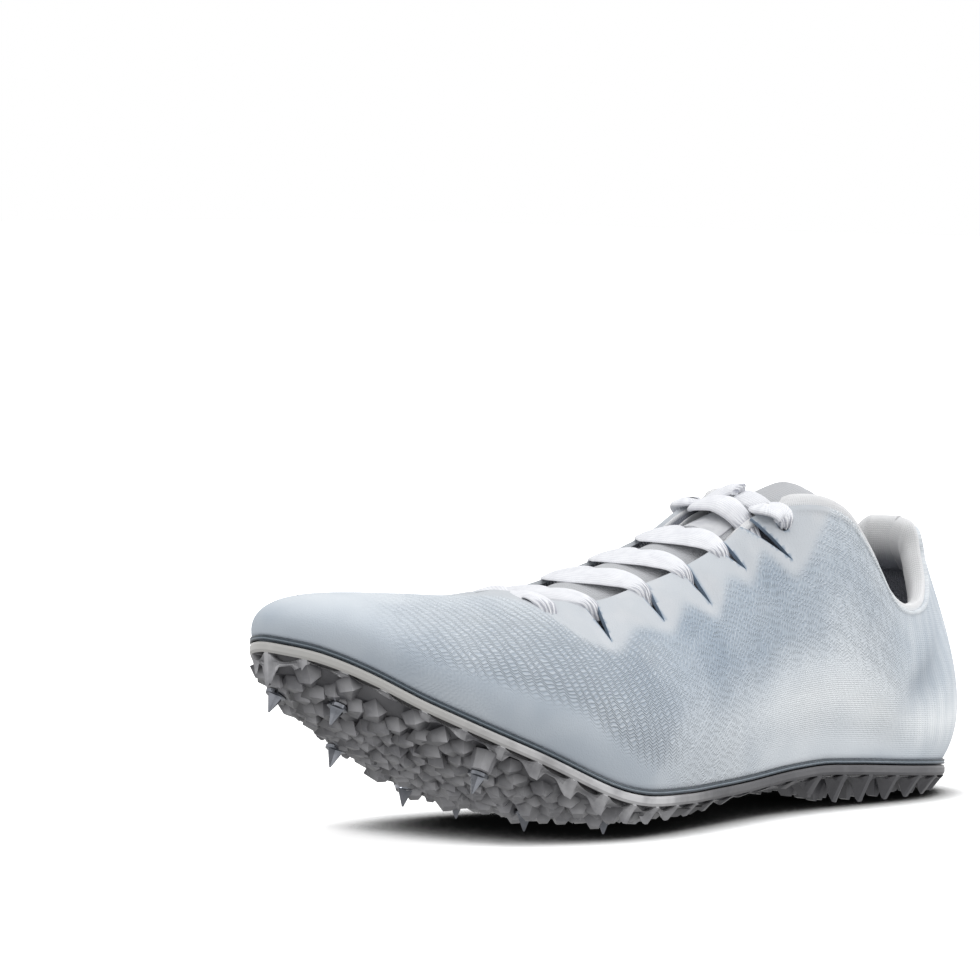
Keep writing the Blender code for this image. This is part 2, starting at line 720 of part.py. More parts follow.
def make_lace_bars():
    """Flat lace over the throat, one bar from each pair of slits."""
    for number, (index, share, lift) in enumerate(LACE_BARS):
        ends = [wall_frame(side, index, share) for side in (0, 1)]
        start, end = ends[0][0], ends[1][0]
        middle_x = (start[0] + end[0]) / 2
        clear = TONGUE_THICKNESS + LACE_THICKNESS / 2 + FIT * 4 + lift * INSTEP_HEIGHT
        crown = tongue_point(middle_x / LENGTH, 0.0, clear)
        ahead, behind = (tongue_point(middle_x / LENGTH + step, 0.0, 0.0) for step in (NEAR, -NEAR))
        slope = (ahead - behind) / np.linalg.norm(ahead - behind)
        rise = np.array([-slope[2], 0.0, slope[0]])
        half, thin = LACE_WIDTH / 2, LACE_THICKNESS / 2
        flat = half * 0.7
        section = ((-half, 0), (-flat, thin), (flat, thin), (half, 0), (flat, -thin), (-flat, -thin))
        rings = []
        for t in np.linspace(0.0, 1.0, 9):
            chord = start + (end - start) * t
            hump = 4 * t * (1 - t)
            height = chord[2] + LACE_THICKNESS / 2 + FIT * 3
            height += (max(crown[2], height) - height) * hump**0.7
            centre = np.array([middle_x, chord[1], height])
            wide = LACE_GATHER + (1 - LACE_GATHER) * math.sqrt(hump)
            rings.append([centre + slope * a * wide + rise * b for a, b in section])
        sweep(f"lace_bar_{number + 1}", rings, "lace")


def stand_on_origin():
    """Moves everything so that the origin is under the middle of the shoe, on the floor."""
    bpy.context.view_layer.update()
    graph = bpy.context.evaluated_depsgraph_get()
    low, high = Vector((9, 9, 9)), Vector((-9, -9, -9))
    for obj in bpy.data.objects:
        if obj.hide_render:
            continue
        mesh = obj.evaluated_get(graph).to_mesh()
        for point in mesh.vertices:
            low = Vector(map(min, low, point.co))
            high = Vector(map(max, high, point.co))
        obj.evaluated_get(graph).to_mesh_clear()
    middle = (low + high) / 2
    shift = Matrix.Translation((-middle.x, -middle.y, -low.z))
    for obj in bpy.data.objects:
        obj.data.transform(shift)


def main():
    clear_scene()
    make_upper()
    make_outsole()
    make_spikes()
    make_rand()
    make_insole()
    make_collar_lining()
    make_tongue()
    make_lace_bars()
    stand_on_origin()


main()
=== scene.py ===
"""Looks of the track spike shoe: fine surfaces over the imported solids, in the same frame.

Lengths are in metres unless a name says otherwise. The tables repeat the shares of part.py, because
this script can't read that file, and every fine piece is worked out from them.
"""

import math

import bmesh
import bpy
import numpy as np
from mathutils import Matrix, Vector


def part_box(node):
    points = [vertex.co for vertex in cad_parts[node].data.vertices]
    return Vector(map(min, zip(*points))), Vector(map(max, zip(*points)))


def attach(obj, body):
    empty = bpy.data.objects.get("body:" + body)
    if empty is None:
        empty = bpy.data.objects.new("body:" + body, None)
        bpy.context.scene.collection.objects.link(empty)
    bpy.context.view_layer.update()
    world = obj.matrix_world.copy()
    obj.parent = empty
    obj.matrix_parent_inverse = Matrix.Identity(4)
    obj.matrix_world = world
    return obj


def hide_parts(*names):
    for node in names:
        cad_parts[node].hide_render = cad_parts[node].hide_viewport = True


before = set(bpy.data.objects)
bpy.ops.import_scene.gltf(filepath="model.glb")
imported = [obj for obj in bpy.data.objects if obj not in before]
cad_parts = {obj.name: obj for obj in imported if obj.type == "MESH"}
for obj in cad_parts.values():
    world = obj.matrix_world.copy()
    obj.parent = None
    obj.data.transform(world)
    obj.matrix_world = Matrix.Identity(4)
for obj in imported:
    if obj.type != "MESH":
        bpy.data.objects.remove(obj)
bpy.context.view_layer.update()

# Driving dimensions, as in part.py
LENGTH = 0.280
BALL_WIDTH = 0.090
INSTEP_HEIGHT = 0.094
TOE_SPRING = 0.0613
PLATE_DEPTH = 0.015
UPPER_WALL = 0.0014
FIT = 0.0003
RAND_WIDTH = 0.0012
RAND_HEIGHT = 0.0014
BAND_HEIGHT = 0.0030
MARGIN_WIDTH = 0.0070
SPIKE_HEIGHT = 0.0066
SPIKE_RADIUS = 0.0030
BOSS_RADIUS = 0.0034
LINING_THICKNESS = 0.0056
LINING_DEPTH = 0.0150
LINING_RISE = 0.0012
TONGUE_THICKNESS = 0.0018
EYELET_RADIUS = 0.0022
LACE_WIDTH = 0.0136
LACE_THICKNESS = 0.0011
SLIT_WIDTH = 0.0050
DEEP = 0.020
CLEAR_OF_FLOOR = 0.0006

# Fineness of the dressed surfaces
STATIONS_PER_RIB = 12
WALL_ROWS = 54
MM = 0.001

# along, lateral half width and medial half width of the feather edge
OUTLINE = (
    (0.010, 0.118, 0.120),
    (0.036, 0.222, 0.222),
    (0.075, 0.288, 0.285),
    (0.124, 0.322, 0.317),
    (0.231, 0.312, 0.308),
    (0.374, 0.316, 0.288),
    (0.481, 0.386, 0.330),
    (0.588, 0.463, 0.414),
    (0.660, 0.499, 0.467),
    (0.731, 0.474, 0.497),
    (0.803, 0.400, 0.494),
    (0.872, 0.298, 0.460),
    (0.923, 0.168, 0.415),
    (0.960, 0.030, 0.352),
    (0.987, -0.078, 0.270),
)
TOE_TIP = (1.0, -0.168)

# along, edge height, valley depth, stud depth, inset of the foot, depth lost at the edge
PROFILE = (
    (0.000, 0.147, 0.28, 0.10, 0.30, 0.00),
    (0.067, 0.176, 0.33, 0.45, 0.40, 0.00),
    (0.142, 0.203, 0.36, 0.50, 0.45, 0.00),
    (0.232, 0.232, 0.38, 0.53, 0.42, 0.00),
    (0.279, 0.243, 0.42, 0.34, 0.40, 0.05),
    (0.317, 0.236, 0.50, 0.08, 0.40, 0.10),
    (0.407, 0.208, 0.42, 0.06, 0.36, 0.15),
    (0.481, 0.202, 0.50, 0.15, 0.34, 0.20),
    (0.553, 0.202, 0.50, 0.22, 0.34, 0.20),
    (0.677, 0.259, 0.58, 0.30, 0.34, 0.22),
    (0.785, 0.473, 0.60, 0.36, 0.30, 0.36),
    (0.892, 0.713, 0.60, 0.36, 0.22, 0.52),
    (0.974, 0.955, 0.62, 0.36, 0.12, 0.45),
    (1.000, 0.995, 0.64, 0.36, 0.06, 0.10),
)

# foot, top along, then across and height on both sides, then lean and pull at the foot and the top
RIBS = (
    (0.000, 0.028, 0.000, 0.906, 0.000, 0.906, 56, 0.35, 78, 0.30),
    (0.038, 0.035, 0.083, 0.884, 0.083, 0.906, 56, 0.35, 78, 0.30),
    (0.063, 0.044, 0.135, 0.793, 0.137, 0.896, 58, 0.35, 78, 0.30),
    (0.088, 0.062, 0.200, 0.702, 0.203, 0.815, 62, 0.35, 80, 0.30),
    (0.119, 0.099, 0.278, 0.646, 0.270, 0.706, 68, 0.34, 82, 0.30),
    (0.157, 0.146, 0.328, 0.640, 0.316, 0.662, 75, 0.33, 84, 0.30),
    (0.194, 0.178, 0.339, 0.692, 0.326, 0.700, 76, 0.33, 82, 0.30),
    (0.226, 0.205, 0.322, 0.825, 0.312, 0.830, 76, 0.33, 80, 0.30),
    (0.263, 0.233, 0.278, 0.952, 0.268, 0.955, 76, 0.34, 76, 0.30),
    (0.301, 0.279, 0.228, 1.000, 0.218, 1.002, 76, 0.34, 70, 0.30),
    (0.351, 0.351, 0.178, 0.974, 0.172, 0.978, 74, 0.36, 60, 0.32),
    (0.408, 0.408, 0.178, 0.889, 0.172, 0.900, 72, 0.38, 50, 0.34),
    (0.470, 0.481, 0.194, 0.819, 0.184, 0.832, 70, 0.40, 42, 0.36),
    (0.539, 0.553, 0.205, 0.772, 0.195, 0.780, 68, 0.42, 35, 0.38),
    (0.608, 0.624, 0.194, 0.730, 0.184, 0.745, 66, 0.42, 28, 0.40),
    (0.665, 0.678, 0.122, 0.742, 0.122, 0.748, 66, 0.42, 16, 0.42),
    (0.708, 0.703, 0.000, 0.766, 0.000, 0.766, 66, 0.42, 4, 0.42),
    (0.765, 0.756, -0.044, 0.754, 0.044, 0.754, 66, 0.42, 0, 0.42),
    (0.821, 0.821, -0.089, 0.766, 0.089, 0.766, 68, 0.42, 0, 0.42),
    (0.881, 0.878, -0.122, 0.776, 0.122, 0.776, 72, 0.42, 0, 0.42),
    (0.934, 0.917, -0.150, 0.778, 0.150, 0.778, 78, 0.42, 0, 0.42),
    (1.000, 0.949, -0.175, 0.770, 0.175, 0.770, 82, 0.42, 3, 0.42),
)
THROAT_FRONT = 16
COLLAR_FRONT = 9.5
LINING_FRONT = 10.75
LAST_RIB = len(RIBS) - 1

# Slits: rib at the throat edge, rib and height of the tip
LATERAL_SLITS = (
    (14.1, 14.4, 0.725),
    (13.0, 13.1, 0.79),
    (12.0, 11.9, 0.79),
    (11.1, 10.8, 0.845),
    (10.3, 9.6, 0.78),
)
MEDIAL_SLITS = (
    (14.0, 14.1, 0.76),
    (13.0, 13.1, 0.79),
    (12.0, 11.9, 0.80),
    (11.0, 10.7, 0.82),
)
EYELET_PLACE = (9.6, 0.93)

# along, across, height of the tip, forward tilt in degrees
SPIKES = (
    (0.945, -0.039, 0.578, 30),
    (0.945, -0.321, 0.610, 30),
    (0.845, 0.300, 0.258, 26),
    (0.831, -0.387, 0.303, 24),
    (0.718, -0.389, 0.073, 12),
    (0.653, -0.333, 0.000, 0),
    (0.688, 0.080, 0.000, 0),
    (0.644, 0.310, 0.000, 0),
)

# along, height of the middle, half width, fall of the edge
TONGUE = (
    (0.737, 0.700, 0.110, 0.015),
    (0.697, 0.712, 0.150, 0.035),
    (0.624, 0.736, 0.235, 0.090),
    (0.553, 0.788, 0.245, 0.108),
    (0.481, 0.838, 0.240, 0.122),
    (0.408, 0.898, 0.225, 0.135),
    (0.351, 0.948, 0.178, 0.096),
    (0.292, 0.998, 0.150, 0.068),
    (0.242, 1.036, 0.150, 0.055),
    (0.215, 1.032, 0.120, 0.045),
)
# The bare label: along from and to, and half width; then the half width of the tongue there
LABEL = (0.395, 0.310, 0.110)
TONGUE_HALF_AT_LABEL = 0.215

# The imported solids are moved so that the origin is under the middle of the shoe
SPIKE_7_ACROSS = SPIKES[6][1] * BALL_WIDTH
spike_low, spike_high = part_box("spike_7")
SHIFT = np.array([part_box("outsole")[0].x, (spike_low.y + spike_high.y) / 2 - SPIKE_7_ACROSS, 0.0])


# Curves and sections

def interpolate(keys, values, where):
    """Smooth curve through the values, with the slope at each key taken from its neighbours."""
    keys = np.asarray(keys, float)
    values = np.asarray(values, float)
    slopes = np.gradient(values, keys, axis=0)
    where = np.clip(np.asarray(where, float), keys[0], keys[-1])
    left = np.clip(np.searchsorted(keys, where, side="right") - 1, 0, len(keys) - 2)
    width = keys[left + 1] - keys[left]
    t = (where - keys[left]) / width
    if values.ndim > 1:
        t = t[..., None]
        width = width[..., None]
    return (
        (2 * t**3 - 3 * t**2 + 1) * values[left]
        + (t**3 - 2 * t**2 + t) * width * slopes[left]
        + (3 * t**2 - 2 * t**3) * values[left + 1]
        + (t**3 - t**2) * width * slopes[left + 1]
    )


def smooth_step(low, high, value):
    t = np.clip((np.asarray(value, float) - low) / (high - low), 0.0, 1.0)
    return t * t * (3 - 2 * t)


def bump_at(value, centre, width):
    """Soft bell of height one, with the given half width."""
    return np.exp(-(((np.asarray(value, float) - centre) / width) ** 2))


def edge_path():
    """Feather edge seen from above as two dense lines, heel to toe, with their share of length."""
    table = np.array(OUTLINE)
    heel = [(0.0, 0.0)]
    lateral = [(row[0], row[1]) for row in table]
    medial = [(row[0], -row[2]) for row in table][::-1]
    loop = np.array(heel + lateral + [TOE_TIP] + medial) * (LENGTH, BALL_WIDTH)
    lap = len(loop)
    loop = np.concatenate([loop, loop, loop])
    steps = np.concatenate([[0], np.cumsum(np.linalg.norm(np.diff(loop, axis=0), axis=1))])
    toe = lap + len(lateral) + 1
    sides = []
    for start, end in ((lap, toe), (2 * lap, toe)):
        line = interpolate(steps, loop, np.linspace(steps[start], steps[end], 240))
        run = np.concatenate([[0], np.cumsum(np.linalg.norm(np.diff(line, axis=0), axis=1))])
        sides.append((line, run / run[-1], run[-1]))
    return sides


EDGE = edge_path()


def edge_point(side, share):
    """Point of the feather edge and the direction straight out of it. Side 0 is lateral."""
    line, run, _ = EDGE[side]
    point = np.array([np.interp(share, run, line[:, k]) for k in (0, 1)])
    if share <= 0.0:
        return point, np.array([-1.0, 0.0])
    if share >= 1.0:
        return point, np.array([1.0, 0.0])
    ahead, behind = min(share + 0.004, 1.0), max(share - 0.004, 0.0)
    turn = [np.interp(ahead, run, line[:, k]) - np.interp(behind, run, line[:, k]) for k in (0, 1)]
    out = np.array([-turn[1], turn[0]]) * (1 if side == 0 else -1)
    return point, out / np.linalg.norm(out)


def profile(x, column):
    table = np.array(PROFILE)
    return interpolate(table[:, 0] * LENGTH, table[:, column], x)


def edge_height(x):
    return profile(x, 1) * TOE_SPRING


def crown(x, y):
    """Share of the plate's full depth that is left at this place, less towards the edges."""
    sides = [np.interp(x, line[:, 0], line[:, 1]) for line, _, _ in EDGE]
    middle, half = (sides[0] + sides[1]) / 2, max((sides[0] - sides[1]) / 2, FIT)
    part = min(abs(y - middle) / half, 1.0)
    return 1.0 - profile(x, 5) * part**2


def valley_height(x, y):
    return edge_height(x) - profile(x, 2) * PLATE_DEPTH * crown(x, y)


def stud_height(x, y):
    height = edge_height(x) - (profile(x, 2) + profile(x, 3)) * PLATE_DEPTH * crown(x, y)
    return np.maximum(height, CLEAR_OF_FLOOR)


def rib_curve(side, index, heights):
    """Points of one rib, from its foot just above the rand to its top."""
    row = interpolate(np.arange(len(RIBS)), RIBS, index)
    foot, out = edge_point(side, float(row[0]))
    foot = np.array([*(foot - out * FIT), edge_height(foot[0]) + RAND_HEIGHT / 2 + 2 * FIT])
    sign = 1 if side == 0 else -1
    across, height = (row[2], row[3]) if side == 0 else (row[4], row[5])
    top = np.array([row[1] * LENGTH, sign * across * BALL_WIDTH, height * INSTEP_HEIGHT])
    out = np.array([*out, 0.0])
    up = np.array([0.0, 0.0, 1.0])
    chord = np.linalg.norm(top - foot)
    lean, fall = math.radians(row[6]), math.radians(row[8])
    first = foot + row[7] * chord * (math.cos(lean) * out + math.sin(lean) * up)
    second = top + row[9] * chord * (math.cos(fall) * out - math.sin(fall) * up)
    t = np.asarray(heights, float)[:, None]
    return (1 - t) ** 3 * foot + 3 * (1 - t) ** 2 * t * first + 3 * (1 - t) * t**2 * second + t**3 * top


def wall_frame(side, index, height):
    """Point on the outside of the upper, with the directions out of the wall, up it and forward."""
    low, high = max(height - 0.02, 0.0), min(height + 0.02, 1.0)
    here = rib_curve(side, index, [height])[0]
    ends = rib_curve(side, index, [low, high])
    up = ends[1] - ends[0]
    up /= np.linalg.norm(up)
    near = rib_curve(side, max(index - 0.1, 0), [height])[0]
    far = rib_curve(side, min(index + 0.1, LAST_RIB), [height])[0]
    forward = far - near
    forward -= up * np.dot(forward, up)
    forward /= np.linalg.norm(forward)
    out = np.cross(forward, up) * (-1 if side == 0 else 1)
    return here, out, up, forward


def tongue_point(along, part, lift):
    """Point of the tongue's underside; part runs from -1 on the medial to 1 on the lateral edge."""
    table = np.array(TONGUE)[::-1]
    scale = (LENGTH, INSTEP_HEIGHT, BALL_WIDTH, INSTEP_HEIGHT)
    x, middle, half, fall = interpolate(table[:, 0], table, along) * scale
    return np.array([x, half * part, middle - fall * abs(part) ** 1.8 + lift])


# Meshes

def add_mesh(name, points, faces, materials, smooth=True, corners=None, values=None):
    """Object from points in the design's own axes, with face corner UVs in metres and point values."""
    points = np.asarray(points, float) + SHIFT
    mesh = bpy.data.meshes.new(name)
    mesh.from_pydata(points.tolist(), [], [tuple(map(int, f)) for f in faces])
    if corners is not None:
        layer = mesh.uv_layers.new(name="UVMap")
        loops = np.empty(len(mesh.loops), np.int32)
        mesh.loops.foreach_get("vertex_index", loops)
        layer.data.foreach_set("uv", np.asarray(corners, np.float32)[loops].ravel())
    for key, data in (values or {}).items():
        mesh.attributes.new(key, "FLOAT", "POINT").data.foreach_set("value", np.asarray(data, np.float32))
    obj = bpy.data.objects.new(name, mesh)
    bpy.context.collection.objects.link(obj)
    for made in materials:
        mesh.materials.append(made)
    if smooth:
        mesh.shade_smooth()
    return obj


def face_out(obj, merge=1e-6):
    """Merges doubles and turns every face of a closed mesh outwards."""
    work = bmesh.new()
    work.from_mesh(obj.data)
    bmesh.ops.remove_doubles(work, verts=work.verts, dist=merge)
    bmesh.ops.recalc_face_normals(work, faces=work.faces)
    work.to_mesh(obj.data)
    work.free()


def bake(obj):
    """Applies the modifiers, so that the piece is a plain mesh."""
    graph = bpy.context.evaluated_depsgraph_get()
    mesh = bpy.data.meshes.new_from_object(obj.evaluated_get(graph))
    obj.modifiers.clear()
    obj.data = mesh
    mesh.name = obj.name


def sweep_faces(rings, count, closed_rings=False):
    """Quads between equal rings, and end caps where the row of rings is open."""
    faces = []
    for i in range(rings if closed_rings else rings - 1):
        a, b = i * count, (i + 1) % rings * count
        faces += [(a + k, a + (k + 1) % count, b + (k + 1) % count, b + k) for k in range(count)]
    if not closed_rings:
        faces.append(tuple(range(count))[::-1])
        faces.append(tuple((rings - 1) * count + k for k in range(count)))
    return faces


def sweep(name, rings, made, closed_rings=False, smooth=True, values=None):
    """Solid through equal rings, with UVs in metres: U along the rings and V round each of them."""
    rings = np.asarray(rings, float)
    n, count = rings.shape[:2]
    along = np.concatenate([[0], np.cumsum(np.linalg.norm(np.diff(rings.mean(1), axis=0), axis=1))])
    turns = np.linalg.norm(np.diff(rings, axis=1), axis=2).mean(0)
    round_it = np.concatenate([[0], np.cumsum(turns)])
    uv = np.stack(np.meshgrid(along, round_it, indexing="ij"), -1).reshape(-1, 2)
    faces = sweep_faces(n, count, closed_rings)
    obj = add_mesh(name, rings.reshape(-1, 3), faces, [made], smooth, uv, values)
    face_out(obj)
    return obj


def finish_piece(obj, slot, *nodes):
    """Seats the piece on the one body and hides the solids that it stands for. The slot is not used."""
    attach(obj, "root")
    if nodes:
        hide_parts(*nodes)
    return obj


# Node trees

TURN = 2 * math.pi


class Value:
    """A number or a colour in a node tree. Sums on numbers add Math nodes."""

    def __init__(self, graph, socket):
        self.graph = graph
        self.socket = socket

    def maths(self, operation, *terms):
        return self.graph.node("ShaderNodeMath", {"operation": operation}, dict(enumerate(terms)))

    def __add__(self, other):
        return self.maths("ADD", self, other)

    def __radd__(self, other):
        return self.maths("ADD", other, self)

    def __sub__(self, other):
        return self.maths("SUBTRACT", self, other)

    def __rsub__(self, other):
        return self.maths("SUBTRACT", other, self)

    def __mul__(self, other):
        return self.maths("MULTIPLY", self, other)

    def __rmul__(self, other):
        return self.maths("MULTIPLY", other, self)

    def __truediv__(self, other):
        return self.maths("DIVIDE", self, other)

    def wave(self, period):
        """Sine with one turn for each period, in metres."""
        return self.maths("SINE", self * (TURN / period))

    def fraction(self):
        return self.maths("FRACT", self)

    def least(self, other):
        return self.maths("MINIMUM", self, other)

    def ramp(self, low, high):
        """Smooth step from 0 at low to 1 at high."""
        sockets = {"Value": self, "From Min": low, "From Max": high}
        settings = {"interpolation_type": "SMOOTHSTEP"}
        return self.graph.node("ShaderNodeMapRange", settings, sockets, "Result")


class Graph:
    """A node tree with one way to add a node to it."""

    def __init__(self, tree):
        self.tree = tree

    def node(self, kind, settings=None, sockets=None, output=0):
        """Adds a node: its settings first, then a value or a link for each socket that is named."""
        node = self.tree.nodes.new(kind)
        for key, value in (settings or {}).items():
            if key == "stops":
                elements = node.color_ramp.elements
                while len(elements) < len(value):
                    elements.new(0.5)
                for stop, (place, _) in zip(elements, value):
                    stop.position = place
                for stop, (_, bright) in zip(elements, value):
                    stop.color = (bright, bright, bright, 1.0)
            else:
                setattr(node, key, value)
        self.feed(node, sockets or {})
        return Value(self, node.outputs[output]) if len(node.outputs) else None

    def feed(self, node, sockets):
        """Gives each named socket of a node its value or its link."""
        for key, value in sockets.items():
            slot = node.inputs[key]
            if isinstance(value, Value):
                self.tree.links.new(value.socket, slot)
            elif slot.type == "RGBA":
                slot.default_value = (*value, 1.0)
            else:
                slot.default_value = value


class Finish(Graph):
    """A Principled material whose patterns are written as sums."""

    def __init__(self, name, colour, roughness, metallic=0.0, **settings):
        self.material = bpy.data.materials.new(name)
        self.material.use_nodes = True
        super().__init__(self.material.node_tree)
        self.shader = self.tree.nodes["Principled BSDF"]
        self.feed(self.shader, {"Base Color": colour, "Roughness": roughness, "Metallic": metallic})
        self.feed(self.shader, {key.replace("_", " "): value for key, value in settings.items()})
        self.material.diffuse_color = (*colour, 1.0)

    def value(self, name):
        """Number that the piece's points keep under this name."""
        return self.node("ShaderNodeAttribute", {"attribute_name": name}, output="Fac")

    def uv(self):
        """U and V of the piece's own map, in metres."""
        place = self.node("ShaderNodeUVMap", {"uv_map": "UVMap"})
        return [self.node("ShaderNodeSeparateXYZ", {}, {0: place}, axis) for axis in ("X", "Y")]

    def noise(self, scale, detail=2.0):
        place = self.node("ShaderNodeTexCoord", output="Object")
        sockets = {"Vector": place, "Scale": scale, "Detail": detail}
        return self.node("ShaderNodeTexNoise", {}, sockets, "Fac")

    def mix(self, share, first, second):
        """Colour between two colours."""
        sockets = {"Factor": share, "A": first, "B": second}
        return self.node("ShaderNodeMix", {"data_type": "RGBA"}, sockets, "Result")

    def colour(self, value):
        self.feed(self.shader, {"Base Color": value})

    def rough(self, value):
        self.feed(self.shader, {"Roughness": value})

    def bump(self, height, distance, strength=1.0):
        """Bump from a height of 0 to 1 that stands for the distance in metres."""
        sockets = {"Strength": strength, "Distance": distance, "Height": height}
        self.feed(self.shader, {"Normal": self.node("ShaderNodeBump", {}, sockets)})


def upper_finish():
    """Engineered mesh: chevron ridges, beads, twill and heel ribs, and smooth film on the eyestay, with
    painted shade in the relief's troughs and in a lateral crease, and painted highlight on the relief's
    crests.
    """
    made = Finish("upper_mesh", (0.52, 0.59, 0.66), 0.55, Specular_IOR_Level=0.35)
    u, v = made.uv()
    film, zigzag, dimple = made.value("film"), made.value("zigzag"), made.value("dimple")
    twill, ribbed, smudge = made.value("twill"), made.value("ribbed"), made.value("smudge")
    tone, hem = made.value("tone"), made.value("hem")
    wander = made.noise(170.0) - 0.5
    part = (u / (3.5 * MM) - v / (9.0 * MM) + wander * 0.9).fraction()
    stroke = (part / 0.60).least((1 - part) / 0.40)
    chevron = (v + stroke * (1.15 * MM) + wander * (1.0 * MM)).wave(1.05 * MM)
    lean = (u * 0.75 + v * 0.66 + wander * (4.2 * MM)).wave(1.15 * MM)
    cross = (v * 0.9 - u * 0.44 + wander * (5.5 * MM)).wave(1.9 * MM)
    fine = (u + v).wave(1.3 * MM) * (v - u).wave(1.3 * MM)
    rib = (u + wander * (0.5 * MM)).wave(1.5 * MM)
    broad = (u + wander * (4.0 * MM)).wave(7.0 * MM)
    relief = chevron * zigzag + (lean * 0.6 + lean * cross * 0.4) * dimple
    relief = relief + fine * twill * 0.6 + rib * ribbed * 0.22
    relief = relief * (1 - film * 0.95)
    grain = made.noise(2400.0, 1.0) - 0.5
    made.bump((relief + grain * 0.45) * 0.5 + 0.5, 0.50 * MM, 0.85)
    cloud = made.noise(34.0).ramp(0.38, 0.62) - 0.5
    shade = tone + cloud * 0.13 + ribbed * broad * 0.05 + hem * 0.25
    base = made.mix(shade, (0.215, 0.28, 0.36), (0.87, 0.90, 0.92))
    # Painted shade and painted highlight: the colour is darkened in the troughs of the relief and lightened
    # on its crests
    base = made.mix(0.10 - relief * 0.18, base, (0.17, 0.24, 0.33))
    base = made.mix(relief * 0.14, base, (0.88, 0.92, 0.95))
    spots = made.noise(90.0, 3.0).ramp(0.45, 0.70)
    base = made.mix(film, base, made.mix(spots * 0.5, (0.50, 0.53, 0.565), (0.57, 0.585, 0.61)))
    # Painted shade: the wall is darkened in the trough of the lateral heel crease
    made.colour(made.mix(smudge * 0.6, base, (0.28, 0.32, 0.37)))
    made.rough(0.60 - film * 0.14)
    return made.material


def knit_finish(name, colour, dark, pitch, depth, shade=None):
    """Fine knit: small ribs along V, broken up along U. Its colour is darker in the knit's hollows as
    painted shade, and darker still where the piece's shade value calls for painted shade.
    """
    made = Finish(name, colour, 0.85, Sheen_Weight=0.25, Specular_IOR_Level=0.25)
    u, v = made.uv()
    rows = u.wave(pitch)
    loops = (v + rows * (pitch * 0.16)).wave(pitch * 0.8)
    height = rows * 0.3 + loops * 0.3 + made.noise(1800.0) * 0.4 + 0.3
    made.bump(height, depth, 0.8)
    # Painted shade: the knit is darker where its relief lies low, in the hollows between loops
    base = made.mix(0.33 - height * 0.30, colour, dark)
    # Painted shade: the knit is darkened towards dark grey by the piece's shade value
    if shade:
        base = made.mix(made.value(shade), base, (0.20, 0.21, 0.245))
    made.colour(base)
    return made.material


def lace_finish():
    """Woven flat lace: fine threads across, gathered into ridges where it goes into a slit. Its colour is
    darker in the hollows of the weave and between the gathered ridges, as painted shade.
    """
    made = Finish("lace_weave", (0.66, 0.67, 0.71), 0.82, Specular_IOR_Level=0.25)
    u, v = made.uv()
    gather = made.value("gather")
    threads = (u + v * 0.5).wave(0.85 * MM) * (u - v * 0.5).wave(0.85 * MM)
    ridges = (v + (made.noise(300.0, 1.0) - 0.5) * (1.4 * MM)).wave(1.5 * MM)
    wear = made.noise(330.0, 3.0)
    height = threads * 0.16 + ridges * gather * 0.40 + wear * 0.40 + 0.32
    made.bump(height, 0.40 * MM, 0.8)
    # Darker where the relief lies low: painted shade in the hollows between threads, and a mottle that
    # follows the wear noise
    base = made.mix(height.ramp(0.72, 0.15), (0.84, 0.85, 0.88), (0.60, 0.61, 0.66))
    # Painted shade in the troughs between the gathered ridges
    made.colour(made.mix(gather * (0.5 - ridges * 0.5) * 0.65, base, (0.30, 0.31, 0.37)))
    return made.material


def plate_finish():
    """Moulded plate: pale lip, grey arms and scales, dark in the recesses and towards the waist as painted
    shade, with facets painted lighter or darker by the way they face as painted light and shade.
    """
    made = Finish("plate", (0.22, 0.22, 0.24), 0.30, Specular_IOR_Level=0.6)
    deep, pale, sunk, rear, facet = (made.value(key) for key in ("deep", "pale", "sunk", "rear", "facet"))
    speck = made.noise(700.0, 3.0)
    cloud = made.noise(120.0)
    base = made.mix(deep.ramp(0.05, 1.0), (0.56, 0.56, 0.575), (0.38, 0.38, 0.40))
    # Painted light and shade: facets turned away from the lit side are darkened
    base = made.mix((1 - facet) * 0.80, base, (0.055, 0.055, 0.062))
    base = made.mix(cloud.ramp(0.36, 0.64) * 0.55, base, (0.13, 0.13, 0.145))
    base = made.mix(speck.ramp(0.45, 0.75) * 0.22, base, (0.55, 0.55, 0.57))
    # Painted shade in the recesses: webs between the arms, the underside between studs, stud roots and
    # spike posts
    base = made.mix(sunk * 0.90, base, (0.030, 0.030, 0.036))
    # Painted shade: the plate is darkened towards the heel half, which stands near the floor
    base = made.mix(rear * 0.90, base, (0.060, 0.060, 0.067))
    made.colour(made.mix(pale, base, (0.50, 0.495, 0.48)))
    made.bump(speck, 0.10 * MM, 0.5)
    return made.material


def rand_finish():
    """Dark strip with a thin lighter line along its middle; its dark colour stands partly for the shadow
    line in the seam between upper and plate, as painted shadow.
    """
    made = Finish("rand_strip", (0.05, 0.06, 0.08), 0.35, Specular_IOR_Level=0.5)
    grain = made.noise(900.0)
    base = made.mix(grain.ramp(0.3, 0.7), (0.030, 0.042, 0.055), (0.050, 0.066, 0.085))
    made.colour(made.mix(made.value("line"), base, (0.30, 0.36, 0.41)))
    return made.material


def plain_finish(name, colour, dark, roughness, grain, metallic=0.0, **settings):
    """Even surface, a little clouded, with a fine grain of this depth."""
    made = Finish(name, colour, roughness, metallic, **settings)
    made.colour(made.mix(made.noise(260.0, 3.0).ramp(0.35, 0.70), colour, dark))
    made.bump(made.noise(1500.0), grain, 0.6)
    return made.material


# Upper

